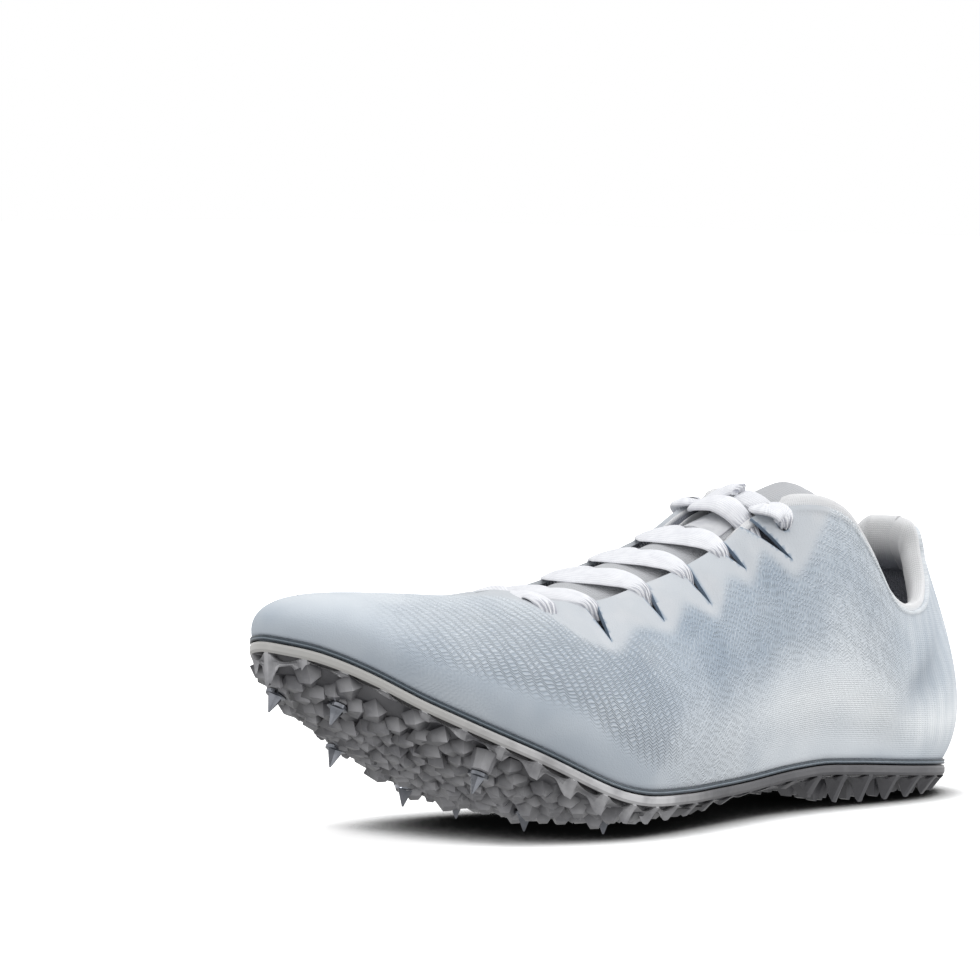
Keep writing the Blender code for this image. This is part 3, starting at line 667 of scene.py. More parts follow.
def film_edge(side, index):
    """Height share on each rib where the smooth film of the eyestay ends, in scallops."""
    slits = LATERAL_SLITS if side == 0 else MEDIAL_SLITS
    tips = [(slit[1], slit[2] - 0.06) for slit in slits]
    keys = [(22.0, 1.6), (18.6, 1.25), (17.2, 1.03), (15.9, 0.80)]
    for near, far in zip(tips, tips[1:]):
        middle = ((near[0] + far[0]) / 2, (near[1] + far[1]) / 2 + 0.10)
        keys += [near, middle]
    keys += [tips[-1], (9.0, 0.86), (8.5, 1.02), (7.8, 1.5), (0.0, 1.6)]
    keys = np.array(sorted(keys))
    return interpolate(keys[:, 0], keys[:, 1], index)


# How pale the wall is: rib, then the share at its foot, low, middle, high and at its top
TONES = (
    (0.0, 0.55, 0.86, 0.60, 0.55, 0.62),
    (2.0, 0.55, 0.92, 0.60, 0.55, 0.62),
    (4.0, 0.52, 0.92, 0.54, 0.50, 0.58),
    (6.0, 0.54, 0.94, 0.58, 0.46, 0.56),
    (8.0, 0.66, 0.96, 0.58, 0.48, 0.62),
    (10.0, 0.72, 0.92, 0.42, 0.32, 0.56),
    (12.0, 0.62, 0.66, 0.22, 0.20, 0.52),
    (14.0, 0.54, 0.46, 0.26, 0.26, 0.60),
    (16.0, 0.48, 0.42, 0.40, 0.50, 0.64),
    (18.0, 0.46, 0.38, 0.44, 0.56, 0.64),
    (20.0, 0.42, 0.36, 0.48, 0.60, 0.66),
    (22.0, 0.40, 0.38, 0.52, 0.64, 0.66),
)
LAST_RIB_KEY = 22.0


def wall_tone(index, height):
    """Paleness of the wall from the table, for arrays of ribs and heights."""
    table = np.array(TONES)
    along = interpolate(table[:, 0], table[:, 1:], np.ravel(index) * LAST_RIB_KEY / LAST_RIB)
    place = np.clip(np.ravel(height), 0, 1) * (table.shape[1] - 2)
    low = np.minimum(place.astype(int), table.shape[1] - 3)
    part = place - low
    rows = np.arange(len(place))
    tone = along[rows, low] * (1 - part) + along[rows, low + 1] * part
    return tone.reshape(np.shape(index))


def upper_values(side, index, height):
    """Share of each pattern on the wall at these ribs and heights."""
    edge = film_edge(side, index)
    film = smooth_step(-0.045, 0.035, height - edge)
    toe = smooth_step(16.8, 19.6, index)
    fore = smooth_step(12.6, 14.2, index) * (1 - toe)
    heel = 1 - smooth_step(4.2, 6.6, index)
    middle = (1 - fore) * (1 - heel) * (1 - toe)
    low = 1 - smooth_step(0.26, 0.46, height)
    hem = smooth_step(0.02, 0.16, height - 0.14 * smooth_step(13.5, 16.0, index))
    top = smooth_step(0.62, 0.86, height)
    arch = smooth_step(12.5, 9.5, index)
    ankle = smooth_step(10.0, 8.0, index)
    return {
        "film": film,
        "zigzag": fore * hem * (1 - top * 0.5) + middle * 0.35 * (1 - low) * ankle,
        "dimple": middle * (1 - low * arch) * (1 - 0.4 * ankle),
        "twill": middle * low * arch * hem + heel * 0.35,
        "ribbed": heel * hem,
        # Painted shade in the trough of the first lateral crease, at its rib, lean and height
        "smudge": bump_at(index + height * 4.5, 6.9, 0.75) * bump_at(height, 0.52, 0.20) * (side == 0),
        "tone": wall_tone(index, height),
        "hem": smooth_step(0.968, 0.978, height) * smooth_step(9.6, 9.2, index),
    }


# Creases and swellings of the wall: rib at the foot, ribs that it drifts by up to the top, half
# width in ribs, height, half height and depth in mm, with a minus for a trough
LATERAL_CREASES = (
    (6.9, -4.5, 0.65, 0.52, 0.17, -1.5),
    (5.2, -4.5, 0.70, 0.50, 0.17, 0.7),
)
CREASES = (
    (13.6, 2.2, 0.42, 0.58, 0.28, -0.4),
    (14.5, 2.2, 0.46, 0.58, 0.28, 0.3),
    (8.0, 0.0, 0.8, 0.35, 0.22, -0.6),
)


def upper_relief(side, index, height):
    """Soft troughs and ridges of the worn wall, in metres along its normal."""
    fade = smooth_step(0.0, 0.12, height) * smooth_step(1.0, 0.88, height)
    shares = upper_values(side, index, height)
    relief = 0.22 * MM * shares["film"] * smooth_step(1.0, 0.97, height) + 0.45 * MM * shares["hem"]
    slits = LATERAL_SLITS if side == 0 else MEDIAL_SLITS
    for _, tip_rib, tip_height in slits:
        below = np.clip(tip_height - height, 0.0, 1.0)
        dent = 0.9 * MM if tip_rib > COLLAR_FRONT + 0.5 else 0.3 * MM
        relief = relief - dent * bump_at(index, tip_rib, 0.20) * bump_at(below, 0.0, 0.09) * fade
    for near, far in zip(slits, slits[1:]):
        middle = (near[0] + far[0]) / 2
        relief = relief + 0.7 * MM * bump_at(index, middle, 0.26) * smooth_step(0.72, 0.92, height) * fade
    for rib, drift, width, level, reach, depth in (LATERAL_CREASES if side == 0 else ()) + CREASES:
        crease = bump_at(index - height * drift, rib, width) * bump_at(height, level, reach)
        relief = relief + depth * MM * crease * fade
    return relief


def make_upper(made, lining):
    """Fine wall from the turned-in margin to the collar, throat and ridge, with its slits cut."""
    stations = np.linspace(0, LAST_RIB, LAST_RIB * STATIONS_PER_RIB + 1)
    heights = np.append(np.linspace(0, 0.966, WALL_ROWS - 4), (0.974, 0.980, 0.990, 1.0))
    names = ("film", "zigzag", "dimple", "twill", "ribbed", "smudge", "tone", "hem")
    points, uvs, faces, places = [], [], [], {}
    values = {name: [] for name in names}
    for side in (0, 1):
        wall = np.array([rib_curve(side, index, heights) for index in stations])
        up = np.gradient(wall, axis=1)
        forward = np.gradient(wall, axis=0)
        normal = np.cross(forward, up) * (-1 if side == 0 else 1)
        normal /= np.maximum(np.linalg.norm(normal, axis=2), 1e-12)[..., None]
        index, height = np.meshgrid(stations, heights, indexing="ij")
        wall = wall + normal * upper_relief(side, index, height)[..., None]
        shares = upper_values(side, index, height)
        steps = np.linalg.norm(np.diff(wall, axis=1), axis=2)
        rise = np.cumsum(np.concatenate([np.zeros((len(stations), 1)), steps], 1), axis=1)
        middle = wall[:, WALL_ROWS // 2]
        run = np.concatenate([[0], np.cumsum(np.linalg.norm(np.diff(middle, axis=0), axis=1))])
        grid = np.empty((len(stations), WALL_ROWS + 2), int)
        for s, station in enumerate(stations):
            share = float(interpolate(np.arange(len(RIBS)), np.array(RIBS)[:, 0], station))
            foot, out = edge_point(side, share)
            inner = RAND_WIDTH + 2 * FIT
            column = []
            for back in (inner + MARGIN_WIDTH, inner):
                place = foot - out * back
                column.append(np.array([*place, edge_height(place[0]) - RAND_HEIGHT / 2 + FIT * 1.5]))
            column += list(wall[s])
            for row, place in enumerate(column):
                on_ridge = row == WALL_ROWS + 1 and station >= THROAT_FRONT
                shared = on_ridge or s in (0, len(stations) - 1)
                key = (0 if shared else side, s, row)
                if key not in places:
                    places[key] = len(points)
                    points.append(place)
                    above = max(row - 2, 0)
                    uvs.append((run[s], rise[s, above]))
                    for name in names:
                        values[name].append(shares[name][s, above])
                grid[s, row] = places[key]
        for a, b in zip(grid, grid[1:]):
            for k in range(len(a) - 1):
                corners = list(dict.fromkeys([a[k], b[k], b[k + 1], a[k + 1]]))
                if len(corners) > 2:
                    faces.append(corners)
    upper = add_mesh("upper_wall", points, faces, [made, lining], True, uvs, values)
    work = bmesh.new()
    work.from_mesh(upper.data)
    bmesh.ops.recalc_face_normals(work, faces=work.faces)
    work.to_mesh(upper.data)
    work.free()
    probe = max(upper.data.polygons, key=lambda face: face.center.y)
    if probe.normal.y < 0:
        upper.data.flip_normals()
    wall = upper.modifiers.new("wall", "SOLIDIFY")
    wall.thickness = UPPER_WALL
    wall.offset = -1.0
    wall.material_offset = 1
    cut = upper.modifiers.new("slits", "BOOLEAN")
    cut.operation = "DIFFERENCE"
    cut.solver = "EXACT"
    cutter = slit_cutters()
    cut.object = cutter
    bake(upper)
    bpy.data.objects.remove(cutter, do_unlink=True)
    upper.data.shade_smooth()
    upper.data.set_sharp_from_angle(angle=math.radians(50))
    return finish_piece(upper, "upper", "upper")


def slit_cutters():
    """One closed cutter for all slits and both eyelets. A slit is a wedge with slightly bowed sides."""
    points, faces = [], []
    for side, slits in ((0, LATERAL_SLITS), (1, MEDIAL_SLITS)):
        for top_rib, tip_rib, tip_height in slits:
            tip = rib_curve(side, tip_rib, [tip_height])[0]
            top, out, _, _ = wall_frame(side, top_rib, 1.0)
            _, middle_out, _, _ = wall_frame(side, (top_rib + tip_rib) / 2, (tip_height + 1) / 2)
            out = out + middle_out
            out /= np.linalg.norm(out)
            run = top - tip
            run -= out * np.dot(run, out)
            across = np.cross(run, out)
            across /= np.linalg.norm(across)
            sides = [0.0, 0.12, 0.3, 0.55, 0.8, 1.0, 1.6]
            widths = [SLIT_WIDTH / 2 * t**0.85 for t in sides]
            right = [tip + run * t + across * w for t, w in zip(sides, widths)]
            left = [tip + run * t - across * w for t, w in zip(sides[1:], widths[1:])]
            loop = right + left[::-1]
            n, a = len(loop), len(points)
            points += [p - out * DEEP / 2 for p in loop] + [p + out * DEEP / 2 for p in loop]
            faces += [(a + k, a + (k + 1) % n, a + n + (k + 1) % n, a + n + k) for k in range(n)]
            faces += [tuple(a + k for k in range(n)), tuple(a + 2 * n - 1 - k for k in range(n))]
        here, out, up, forward = wall_frame(side, *EYELET_PLACE)
        n, a = 20, len(points)
        for reach in (-DEEP / 2, DEEP / 2):
            for k in range(n):
                angle = TURN * k / n
                spoke = (forward * math.cos(angle) + up * math.sin(angle)) * EYELET_RADIUS
                points.append(here + out * reach + spoke)
        faces += [(a + k, a + (k + 1) % n, a + n + (k + 1) % n, a + n + k) for k in range(n)]
        faces += [tuple(a + k for k in range(n)), tuple(a + 2 * n - 1 - k for k in range(n))]
    cutter = add_mesh("slit_cutters", points, faces, [], False)
    face_out(cutter)
    cutter.hide_render = True
    return cutter


# Plate, rand and spikes

ARM_PITCH = 12.0 * MM
ARM_WIDTH = 2.6 * MM
WEB_DEPTH = 2.6 * MM
WEB_SAG = 2.7 * MM
FLOOR_RINGS = 7
FOOT_INSET = 14.2 * MM


def ring_places(step):
    """Places round the edge, heel to toe on the lateral side and back on the medial one."""
    places = []
    for side in (0, 1):
        count = round(EDGE[side][2] / step)
        row = [(side, k / count) for k in range(count)]
        if side == 1:
            row = [(1, 1.0)] + row[:0:-1]
        places += row
    return places


def arm_share(side, share):
    """1 on a lug arm and 0 in the middle of the web beside it, with the place across the web."""
    length = EDGE[side][2]
    repeats = round(length / ARM_PITCH)
    part = (share * repeats) % 1.0
    half = ARM_WIDTH / ARM_PITCH / 2
    from_arm = min(part, 1 - part)
    across = max(0.0, (from_arm - half) / (0.5 - half))
    return float(smooth_step(half * 1.5, half * 0.8, from_arm)), across


def make_outsole(made):
    """Smooth lip, lug arms with hammock webs between them, and studs set on the underside."""
    places = ring_places(0.8 * MM)
    rings, pales, recess_shades = [], [], []
    for side, share in places:
        foot, out = edge_point(side, share)
        x = float(foot[0])
        lip = float(edge_height(x)) - RAND_HEIGHT / 2 - FIT * 1.5
        inset = float(profile(x, 4)) * FOOT_INSET
        arm, across = arm_share(side, share)
        waist, heel = float(bump_at(x / LENGTH, 0.40, 0.11)), float(smooth_step(0.28, 0.18, x / LENGTH))
        calm = 1 - 0.6 * waist - 0.3 * heel
        band = lip - BAND_HEIGHT
        floor = min(float(valley_height(x, foot[1])), band - 1.5 * MM)
        tooth = min(float(stud_height(x, foot[1])), floor)
        recess = WEB_DEPTH * (1 - arm) * calm
        hang = WEB_SAG * (1 - (1 - across) ** 2.2) * calm * min(1.0, (band - floor) / (5 * MM))
        web = band - 0.25 * MM - hang
        low = floor + (tooth - floor) * max(0.0, 1 - across * 1.7)
        sunk = 0.5 * MM * (1 - arm)
        rows = [(0.0, lip), (-0.28 * MM, lip - 0.7 * MM)]
        rows += [(-0.25 * MM, lip - BAND_HEIGHT * 0.72), (0.25 * MM, band)]
        rows += [(0.3 * MM + recess, band - 0.1 * MM), (0.3 * MM + recess, web + 0.05 * MM)]
        rows += [(0.1 * MM + sunk, web - 0.1 * MM)]
        for t in (0.25, 0.5, 0.75, 1.0):
            belly = 1.1 * MM * math.sin(math.pi * t) * (1 - arm)
            rows.append((0.2 * MM + sunk + inset * t * 0.8 + belly, web + (low - web) * t))
        rows.append((inset * 0.8 + 2.2 * MM, floor))
        middle = sum(float(np.interp(x, line[:, 0], line[:, 1])) for line, _, _ in EDGE) / 2
        column = [np.array([*(foot - out * back), z]) for back, z in rows]
        start = column[-1]
        for k in range(1, FLOOR_RINGS + 1):
            part = k / FLOOR_RINGS * 0.96
            y = start[1] + (middle - start[1]) * part
            column.append(np.array([start[0], y, float(valley_height(min(max(start[0], 0.0), LENGTH), y))]))
        rings.append(column)
        front = float(smooth_step(0.47, 0.58, x / LENGTH))
        front *= 0.10 + 0.90 * float(smooth_step(0.72, 0.95, x / LENGTH))
        pales.append([front] * 4 + [0.0] * (len(column) - 4))
        # Painted shade values: dark in the recesses between arms, at the web's foot and on the underside
        recess_shades.append([0.0] * 4 + [1 - arm] * 2 + [0.0] * 4 + [0.3 * (1 - arm), 0.8] + [1.0] * FLOOR_RINGS)
    rings, pales, recess_shades = ([list(ring) for ring in zip(*rows)] for rows in (rings, pales, recess_shades))
    points = [p for ring in rings for p in ring]
    count = len(places)
    faces = []
    for level in range(len(rings) - 1):
        a, b = level * count, (level + 1) * count
        faces += [(a + k, a + (k + 1) % count, b + (k + 1) % count, b + k) for k in range(count)]
    for a in (0, (len(rings) - 1) * count):
        toe = next(k for k, place in enumerate(places) if place[0] == 1)
        left, right = 1, count - 1
        faces.append((a, a + left, a + right))
        while left + 1 < right:
            nearer = left < toe and (right - 1 < toe or points[left][0] <= points[right][0])
            new = left + 1 if nearer else right - 1
            faces.append((a + left, a + new, a + right))
            left, right = (new, right) if nearer else (left, new)
    values = {"pale": np.ravel(pales), "sunk": np.ravel(recess_shades)}
    plate = add_mesh("sprint_plate", points, faces, [made], False, values=values)
    face_out(plate)
    join_meshes(plate, [grow_studs(kind, made) for kind in STUD_SHAPES])
    add_bosses(plate)
    plate.data.shade_smooth()
    plate.data.set_sharp_from_angle(angle=math.radians(14))
    colour_plate(plate)
    return finish_piece(plate, "outsole", "outsole")


def join_meshes(target, others):
    """Adds the other objects' meshes to the target and deletes those objects."""
    work = bmesh.new()
    work.from_mesh(target.data)
    for other in others:
        work.from_mesh(other.data)
        bpy.data.objects.remove(other, do_unlink=True)
    work.to_mesh(target.data)
    work.free()


# Studs: corner points in shares of the length, width and depth, tip downwards, and their faces
STUD_SHAPES = {
    "scale": (
        (0.34, 0.48, 0.25), (-0.50, 0.48, 0.25), (-0.50, -0.48, 0.25), (0.34, -0.48, 0.25),
        (0.56, 0.00, 0.25),
        (0.08, 0.42, -0.30), (0.26, 0.03, -1.05), (0.00, -0.38, -0.40), (-0.42, 0.02, -0.52),
    ),
    "diamond": (
        (0.50, 0.50, 0.30), (-0.50, 0.50, 0.30), (-0.50, -0.50, 0.30), (0.50, -0.50, 0.30),
        (0.10, 0.16, -0.86), (-0.20, 0.12, -0.98), (-0.22, -0.14, -1.00), (0.06, -0.18, -0.84),
    ),
    "saw": (
        (0.50, 0.50, 0.30), (-0.50, 0.50, 0.30), (-0.50, -0.50, 0.30), (0.50, -0.50, 0.30),
        (0.02, 0.20, -0.96), (-0.16, 0.20, -1.00), (-0.16, -0.20, -1.00), (0.02, -0.20, -0.96),
    ),
}
BLOCK_FACES = ((0, 1, 2, 3), (4, 7, 6, 5), (0, 4, 5, 1), (1, 5, 6, 2), (2, 6, 7, 3), (3, 7, 4, 0))
SCALE_FACES = (
    (0, 1, 2, 3, 4), (4, 6, 5, 0), (3, 7, 6, 4), (0, 5, 8, 1),
    (3, 2, 8, 7), (1, 8, 2), (5, 6, 8), (6, 7, 8),
)
STUD_FACES = {"scale": SCALE_FACES, "diamond": BLOCK_FACES, "saw": BLOCK_FACES}

# along from, along to, pitch along, pitch across, stagger share, swing in degrees, reach of the shape
STUD_FIELDS = {
    "scale": (0.565, 0.985, 7.0, 6.4, 0.5, 26, 1.30),
    "diamond": (0.44, 0.76, 10.4, 9.2, 0.5, 24, 1.05),
    "saw": (0.02, 0.30, 8.2, 8.0, 0.5, 4, 0.98),
}


def stud_spots(kind):
    """Place, turn and size of each stud of one kind on the underside."""
    first, last, along, across, stagger, swing, reach = STUD_FIELDS[kind]
    along, across = along * MM, across * MM
    chance = np.random.default_rng(len(kind) * 7)
    spots = []
    for i in range(math.ceil((last - first) * LENGTH / along) + 1):
        x = first * LENGTH + i * along
        if x > last * LENGTH:
            break
        lateral, medial = [float(np.interp(x, line[:, 0], line[:, 1])) for line, _, _ in EDGE]
        for j in range(-12, 13):
            wander = chance.random(4) - 0.5
            y = (j + (stagger if i % 2 else 0.0)) * across + wander[0] * across * 0.30
            margin = float(profile(x, 4)) * FOOT_INSET + 1.8 * MM
            reserve = 1.6 * MM if kind == "scale" else 0.0
            if not medial + margin < y < lateral - margin - reserve:
                continue
            place = x + wander[1] * along * 0.35
            top, low = float(valley_height(place, y)), float(stud_height(place, y))
            share = 1.0
            if kind == "scale":
                share = 0.72 * float(smooth_step(0.52, 0.62, x / LENGTH))
            if kind == "diamond":
                share = float(smooth_step(0.43, 0.50, x / LENGTH) * smooth_step(0.80, 0.70, x / LENGTH))
            depth = (top - low) * share * (1 + wander[2] * 0.45)
            if depth < 0.5 * MM:
                continue
            slope = float(valley_height(place + MM, y) - valley_height(place - MM, y)) / (2 * MM)
            tilt = -math.atan(slope)
            turn = math.radians(swing) * 2 * wander[3]
            turn += math.radians(44 if kind == "scale" else 38 if kind == "diamond" else 0)
            roll = math.radians(30) * wander[2] if kind == "scale" else 0.0
            place = (place, y, max(top, depth + CLEAR_OF_FLOOR))
            spots.append((place, (roll, tilt, turn), (along * reach, across * reach, depth)))
    return spots


def grow_studs(kind, made):
    """Studs of one kind, set on their points by a node tree with named sizes."""
    spots = stud_spots(kind)
    field = add_mesh(f"{kind}_points", [place for place, _, _ in spots], [], [], False)
    for key, column in (("turn", 1), ("size", 2)):
        layer = field.data.attributes.new(key, "FLOAT_VECTOR", "POINT")
        layer.data.foreach_set("vector", np.array([spot[column] for spot in spots], np.float32).ravel())
    mesh = bpy.data.meshes.new(f"{kind}_stud")
    mesh.from_pydata(STUD_SHAPES[kind], [], STUD_FACES[kind])
    # Painted shade: stud corners near the root are darker
    root_shades = np.clip(0.96 + np.array(STUD_SHAPES[kind])[:, 2] * 1.05, 0, 1)
    mesh.attributes.new("sunk", "FLOAT", "POINT").data.foreach_set("value", root_shades.astype(np.float32))
    stud = bpy.data.objects.new(f"{kind}_stud", mesh)
    bpy.context.collection.objects.link(stud)
    face_out(stud)
    tree = bpy.data.node_groups.new(f"{kind}_studs", "GeometryNodeTree")
    sorts = {"Points": "Geometry", "Stud shape": "Object", "Depth factor": "Float"}
    ports = {
        name: tree.interface.new_socket(name, in_out="INPUT", socket_type=f"NodeSocket{sort}")
        for name, sort in sorts.items()
    }
    tree.interface.new_socket("Studs", in_out="OUTPUT", socket_type="NodeSocketGeometry")
    graph = Graph(tree)
    points, shape, factor = (graph.node("NodeGroupInput", output=name) for name in sorts)
    vector = {"data_type": "FLOAT_VECTOR"}
    turn, size = (
        graph.node("GeometryNodeInputNamedAttribute", vector, {"Name": key}, "Attribute")
        for key in ("turn", "size")
    )
    grow = graph.node("ShaderNodeCombineXYZ", {}, {"X": 1.0, "Y": 1.0, "Z": factor})
    stretch = graph.node("ShaderNodeVectorMath", {"operation": "MULTIPLY"}, {0: size, 1: grow})
    one = graph.node("GeometryNodeObjectInfo", {}, {"Object": shape}, "Geometry")
    sockets = {"Points": points, "Instance": one, "Rotation": turn, "Scale": stretch}
    placed = graph.node("GeometryNodeInstanceOnPoints", {}, sockets)
    real = graph.node("GeometryNodeRealizeInstances", {}, {"Geometry": placed})
    painted = graph.node("GeometryNodeSetMaterial", {}, {"Geometry": real, "Material": made})
    graph.node("NodeGroupOutput", {}, {"Studs": painted})
    nodes = field.modifiers.new("studs", "NODES")
    nodes.node_group = tree
    nodes[ports["Stud shape"].identifier] = stud
    nodes[ports["Depth factor"].identifier] = 1.0
    bake(field)
    bpy.data.objects.remove(stud, do_unlink=True)
    return field


def spike_frame(spike):
    """Tip, axis from the tip up into the plate, and seat of a spike."""
    along, across, height, tilt = spike
    tip = Vector((along * LENGTH, across * BALL_WIDTH, height * TOE_SPRING))
    axis = Vector((-math.sin(math.radians(tilt)), 0.0, math.cos(math.radians(tilt))))
    return tip, axis, tip + axis * SPIKE_HEIGHT


def add_bosses(plate):
    """Short posts with a flared, facetted foot that carry the spikes, joined into the plate's mesh."""
    work = bmesh.new()
    work.from_mesh(plate.data)
    sunk = work.verts.layers.float["sunk"]
    sides = 8
    for spike in SPIKES:
        _, axis, seat = spike_frame(spike)
        turn = Vector((0, 0, 1)).rotation_difference(axis).to_matrix()
        levels = ((FIT, 0.84), (0.7 * MM, 0.98), (3.0 * MM, 1.02), (6.5 * MM, 1.22))
        rows = []
        for height, grow in levels:
            row = []
            for k in range(sides):
                angle = TURN * k / sides
                reach = BOSS_RADIUS * grow
                spot = Vector((reach * math.cos(angle), reach * math.sin(angle), height))
                row.append(work.verts.new(seat + turn @ spot + Vector(SHIFT)))
                # Painted shade: darker towards the post's root in the plate
                row[-1][sunk] = min(height / (6.5 * MM), 0.9)
            rows.append(row)
        work.faces.new(rows[0][::-1])
        work.faces.new(rows[-1])
        for low, high in zip(rows, rows[1:]):
            for k in range(sides):
                work.faces.new((low[k], low[(k + 1) % sides], high[(k + 1) % sides], high[k]))
    work.to_mesh(plate.data)
    work.free()


# Facets turned this way, up, outwards and to the toe, are painted pale as painted light, and those turned
# away are painted dark as painted shade
LIT_FACET_SIDE = (0.50, 0.60, 0.62)


def colour_plate(plate):
    """Point values: how deep below the lip, and how far towards the heel half, which is darkened as painted
    shade near the floor; and each facet's painted light and shade by the way it faces.
    """
    count = len(plate.data.vertices)
    places = np.empty(count * 3)
    plate.data.vertices.foreach_get("co", places)
    places = places.reshape(-1, 3) - SHIFT
    x = np.clip(places[:, 0], 0, LENGTH)
    below = edge_height(x) - places[:, 2]
    deep = np.clip((below - BAND_HEIGHT) / (PLATE_DEPTH * 0.9), 0, 1)
    # Painted shade near the floor, strongest in the heel half
    rear = smooth_step(0.62, 0.48, x / LENGTH)
    for key, data in (("deep", deep), ("rear", rear)):
        plate.data.attributes.new(key, "FLOAT", "POINT").data.foreach_set("value", data.astype(np.float32))
    normals = np.empty(len(plate.data.polygons) * 3)
    plate.data.polygons.foreach_get("normal", normals)
    # Painted light: how far each facet faces the lit side
    facet = smooth_step(-0.55, 0.65, normals.reshape(-1, 3) @ np.array(LIT_FACET_SIDE))
    plate.data.attributes.new("facet", "FLOAT", "FACE").data.foreach_set("value", facet.astype(np.float32))


def make_rand(made):
    """Strip of two beads with a groove between them, all round the feather edge."""
    section = []
    for k in range(17):
        t = k / 16
        beads = abs(math.sin(t * math.pi * 2)) ** 0.6
        section.append((-0.28 * MM * beads + 0.05 * MM, 0.62 - 1.14 * t, float(bump_at(t, 0.5, 0.10))))
    section += [(RAND_WIDTH, -0.5, 0.0), (RAND_WIDTH * 0.5, 0.42, 0.0)]
    rings, values = [], []
    for side, share in ring_places(1.6 * MM):
        foot, out = edge_point(side, share)
        middle = float(edge_height(foot[0]))
        ring = [(foot - out * back, middle + RAND_HEIGHT * rise) for back, rise, _ in section]
        rings.append([np.array([*place, height]) for place, height in ring])
        values += [line for _, _, line in section]
    rand = sweep("rand_strip", rings, made, closed_rings=True, values={"line": values})
    return finish_piece(rand, "rand", "rand")


# Spike from its tip: share of the height, share of the radius and how square it is
SPIKE_LEVELS = (
    (0.00, 0.07, 1.0), (0.02, 0.13, 1.0), (0.40, 0.56, 1.0), (0.78, 1.00, 1.0),
    (0.80, 1.00, 0.2), (0.82, 1.05, 0.0), (0.96, 1.08, 0.0), (1.00, 0.98, 0.0),
)


def make_spikes(made):
    """Metal spikes: four hollowed facets to a point, on a round seat."""
    sides = 32
    quarter = math.pi / 2
    for number, spike in enumerate(SPIKES):
        tip, axis, _ = spike_frame(spike)
        turn = Vector((0, 0, 1)).rotation_difference(axis).to_matrix()
        rings = []
        for share, radius, square in SPIKE_LEVELS:
            ring = []
            for k in range(sides):
                angle = TURN * k / sides
                from_corner = min(angle % quarter, quarter - angle % quarter)
                facet = math.cos(quarter / 2) / math.cos(quarter / 2 - from_corner)
                reach = SPIKE_RADIUS * radius * (1 - square + square * facet * (1 - 0.18 * from_corner))
                spot = Vector((reach * math.cos(angle), reach * math.sin(angle), SPIKE_HEIGHT * share))
                ring.append(np.array(tip + turn @ spot))
            rings.append(ring)
        name = f"spike_{number + 1}"
        piece = sweep(f"metal_{name}", rings, made, smooth=False)
        finish_piece(piece, "spike", name)


# Soft trim

def smooth_loop(corners, count):
    """Evenly spaced points on a closed smooth curve through the corners."""
    corners = np.asarray(corners, float)
    n = len(corners)
    wrapped = np.concatenate([corners[-2:], corners, corners[:3]])
    keys = np.concatenate([[0], np.cumsum(np.linalg.norm(np.diff(wrapped, axis=0), axis=1))])
    return interpolate(keys, wrapped, np.linspace(keys[2], keys[2 + n], count, endpoint=False))


def make_collar_lining(made):
    """Padded rim round the ankle opening, rolled a little over the edge of the upper."""
    steps = round(LINING_FRONT * 8)
    stations = [(0, k / 8) for k in range(steps, 0, -1)] + [(1, k / 8) for k in range(0, steps + 1)]
    rings, shade = [], []
    around = 44
    for side, index in stations:
        top, out, up, _ = wall_frame(side, index, 1.0)
        fade = 1.0 - 0.45 * min(1.0, index / COLLAR_FRONT)
        front = float(smooth_step(COLLAR_FRONT - 0.2, COLLAR_FRONT + 0.3, index))
        gap = UPPER_WALL + FIT * 2 + 1.7 * MM * front
        thick = LINING_THICKNESS * fade * (1 - front) + 0.6 * MM * front
        lip = LINING_RISE * (1.0 + min(1.0, max(0.0, (index - 5) / 3))) * (1 - front) - 1.2 * MM * front
        length = np.linalg.norm(np.diff(rib_curve(side, index, [0.0, 1.0]), axis=0))
        depth = LINING_DEPTH * (1 - 0.5 * float(bump_at(index, COLLAR_FRONT - 0.5, 0.5)) + 0.45 * front)
        low, low_out, _, _ = wall_frame(side, index, 1.0 - depth / length)
        section = (
            (top, out, -1.4 * MM, gap),
            (top, out, 0.3 * MM, gap * 0.40),
            (top, out, lip * 1.5, gap * 0.35),
            (top, out, lip * 1.9, gap + thick * 0.40),
            (top, out, -thick * 0.5, gap + thick),
            (low, low_out, thick * 0.8, gap + thick * 0.9),
            (low, low_out, 0.0, gap + thick * 0.45),
            (low, low_out, 0.0, gap),
        )
        corners = [place + up * rise - facing * depth for place, facing, rise, depth in section]
        rings.append(smooth_loop(corners, around))
        # Painted shade: the rim is darkened where it tucks under the upper's edge and down its inner side
        # into the shoe
        shade += [1.0 if k < 2 else float(smooth_step(0.36, 0.56, k / around)) for k in range(around)]
    lining = sweep("collar_rim", rings, made, values={"shade": shade})
    return finish_piece(lining, "lining", "collar_lining")


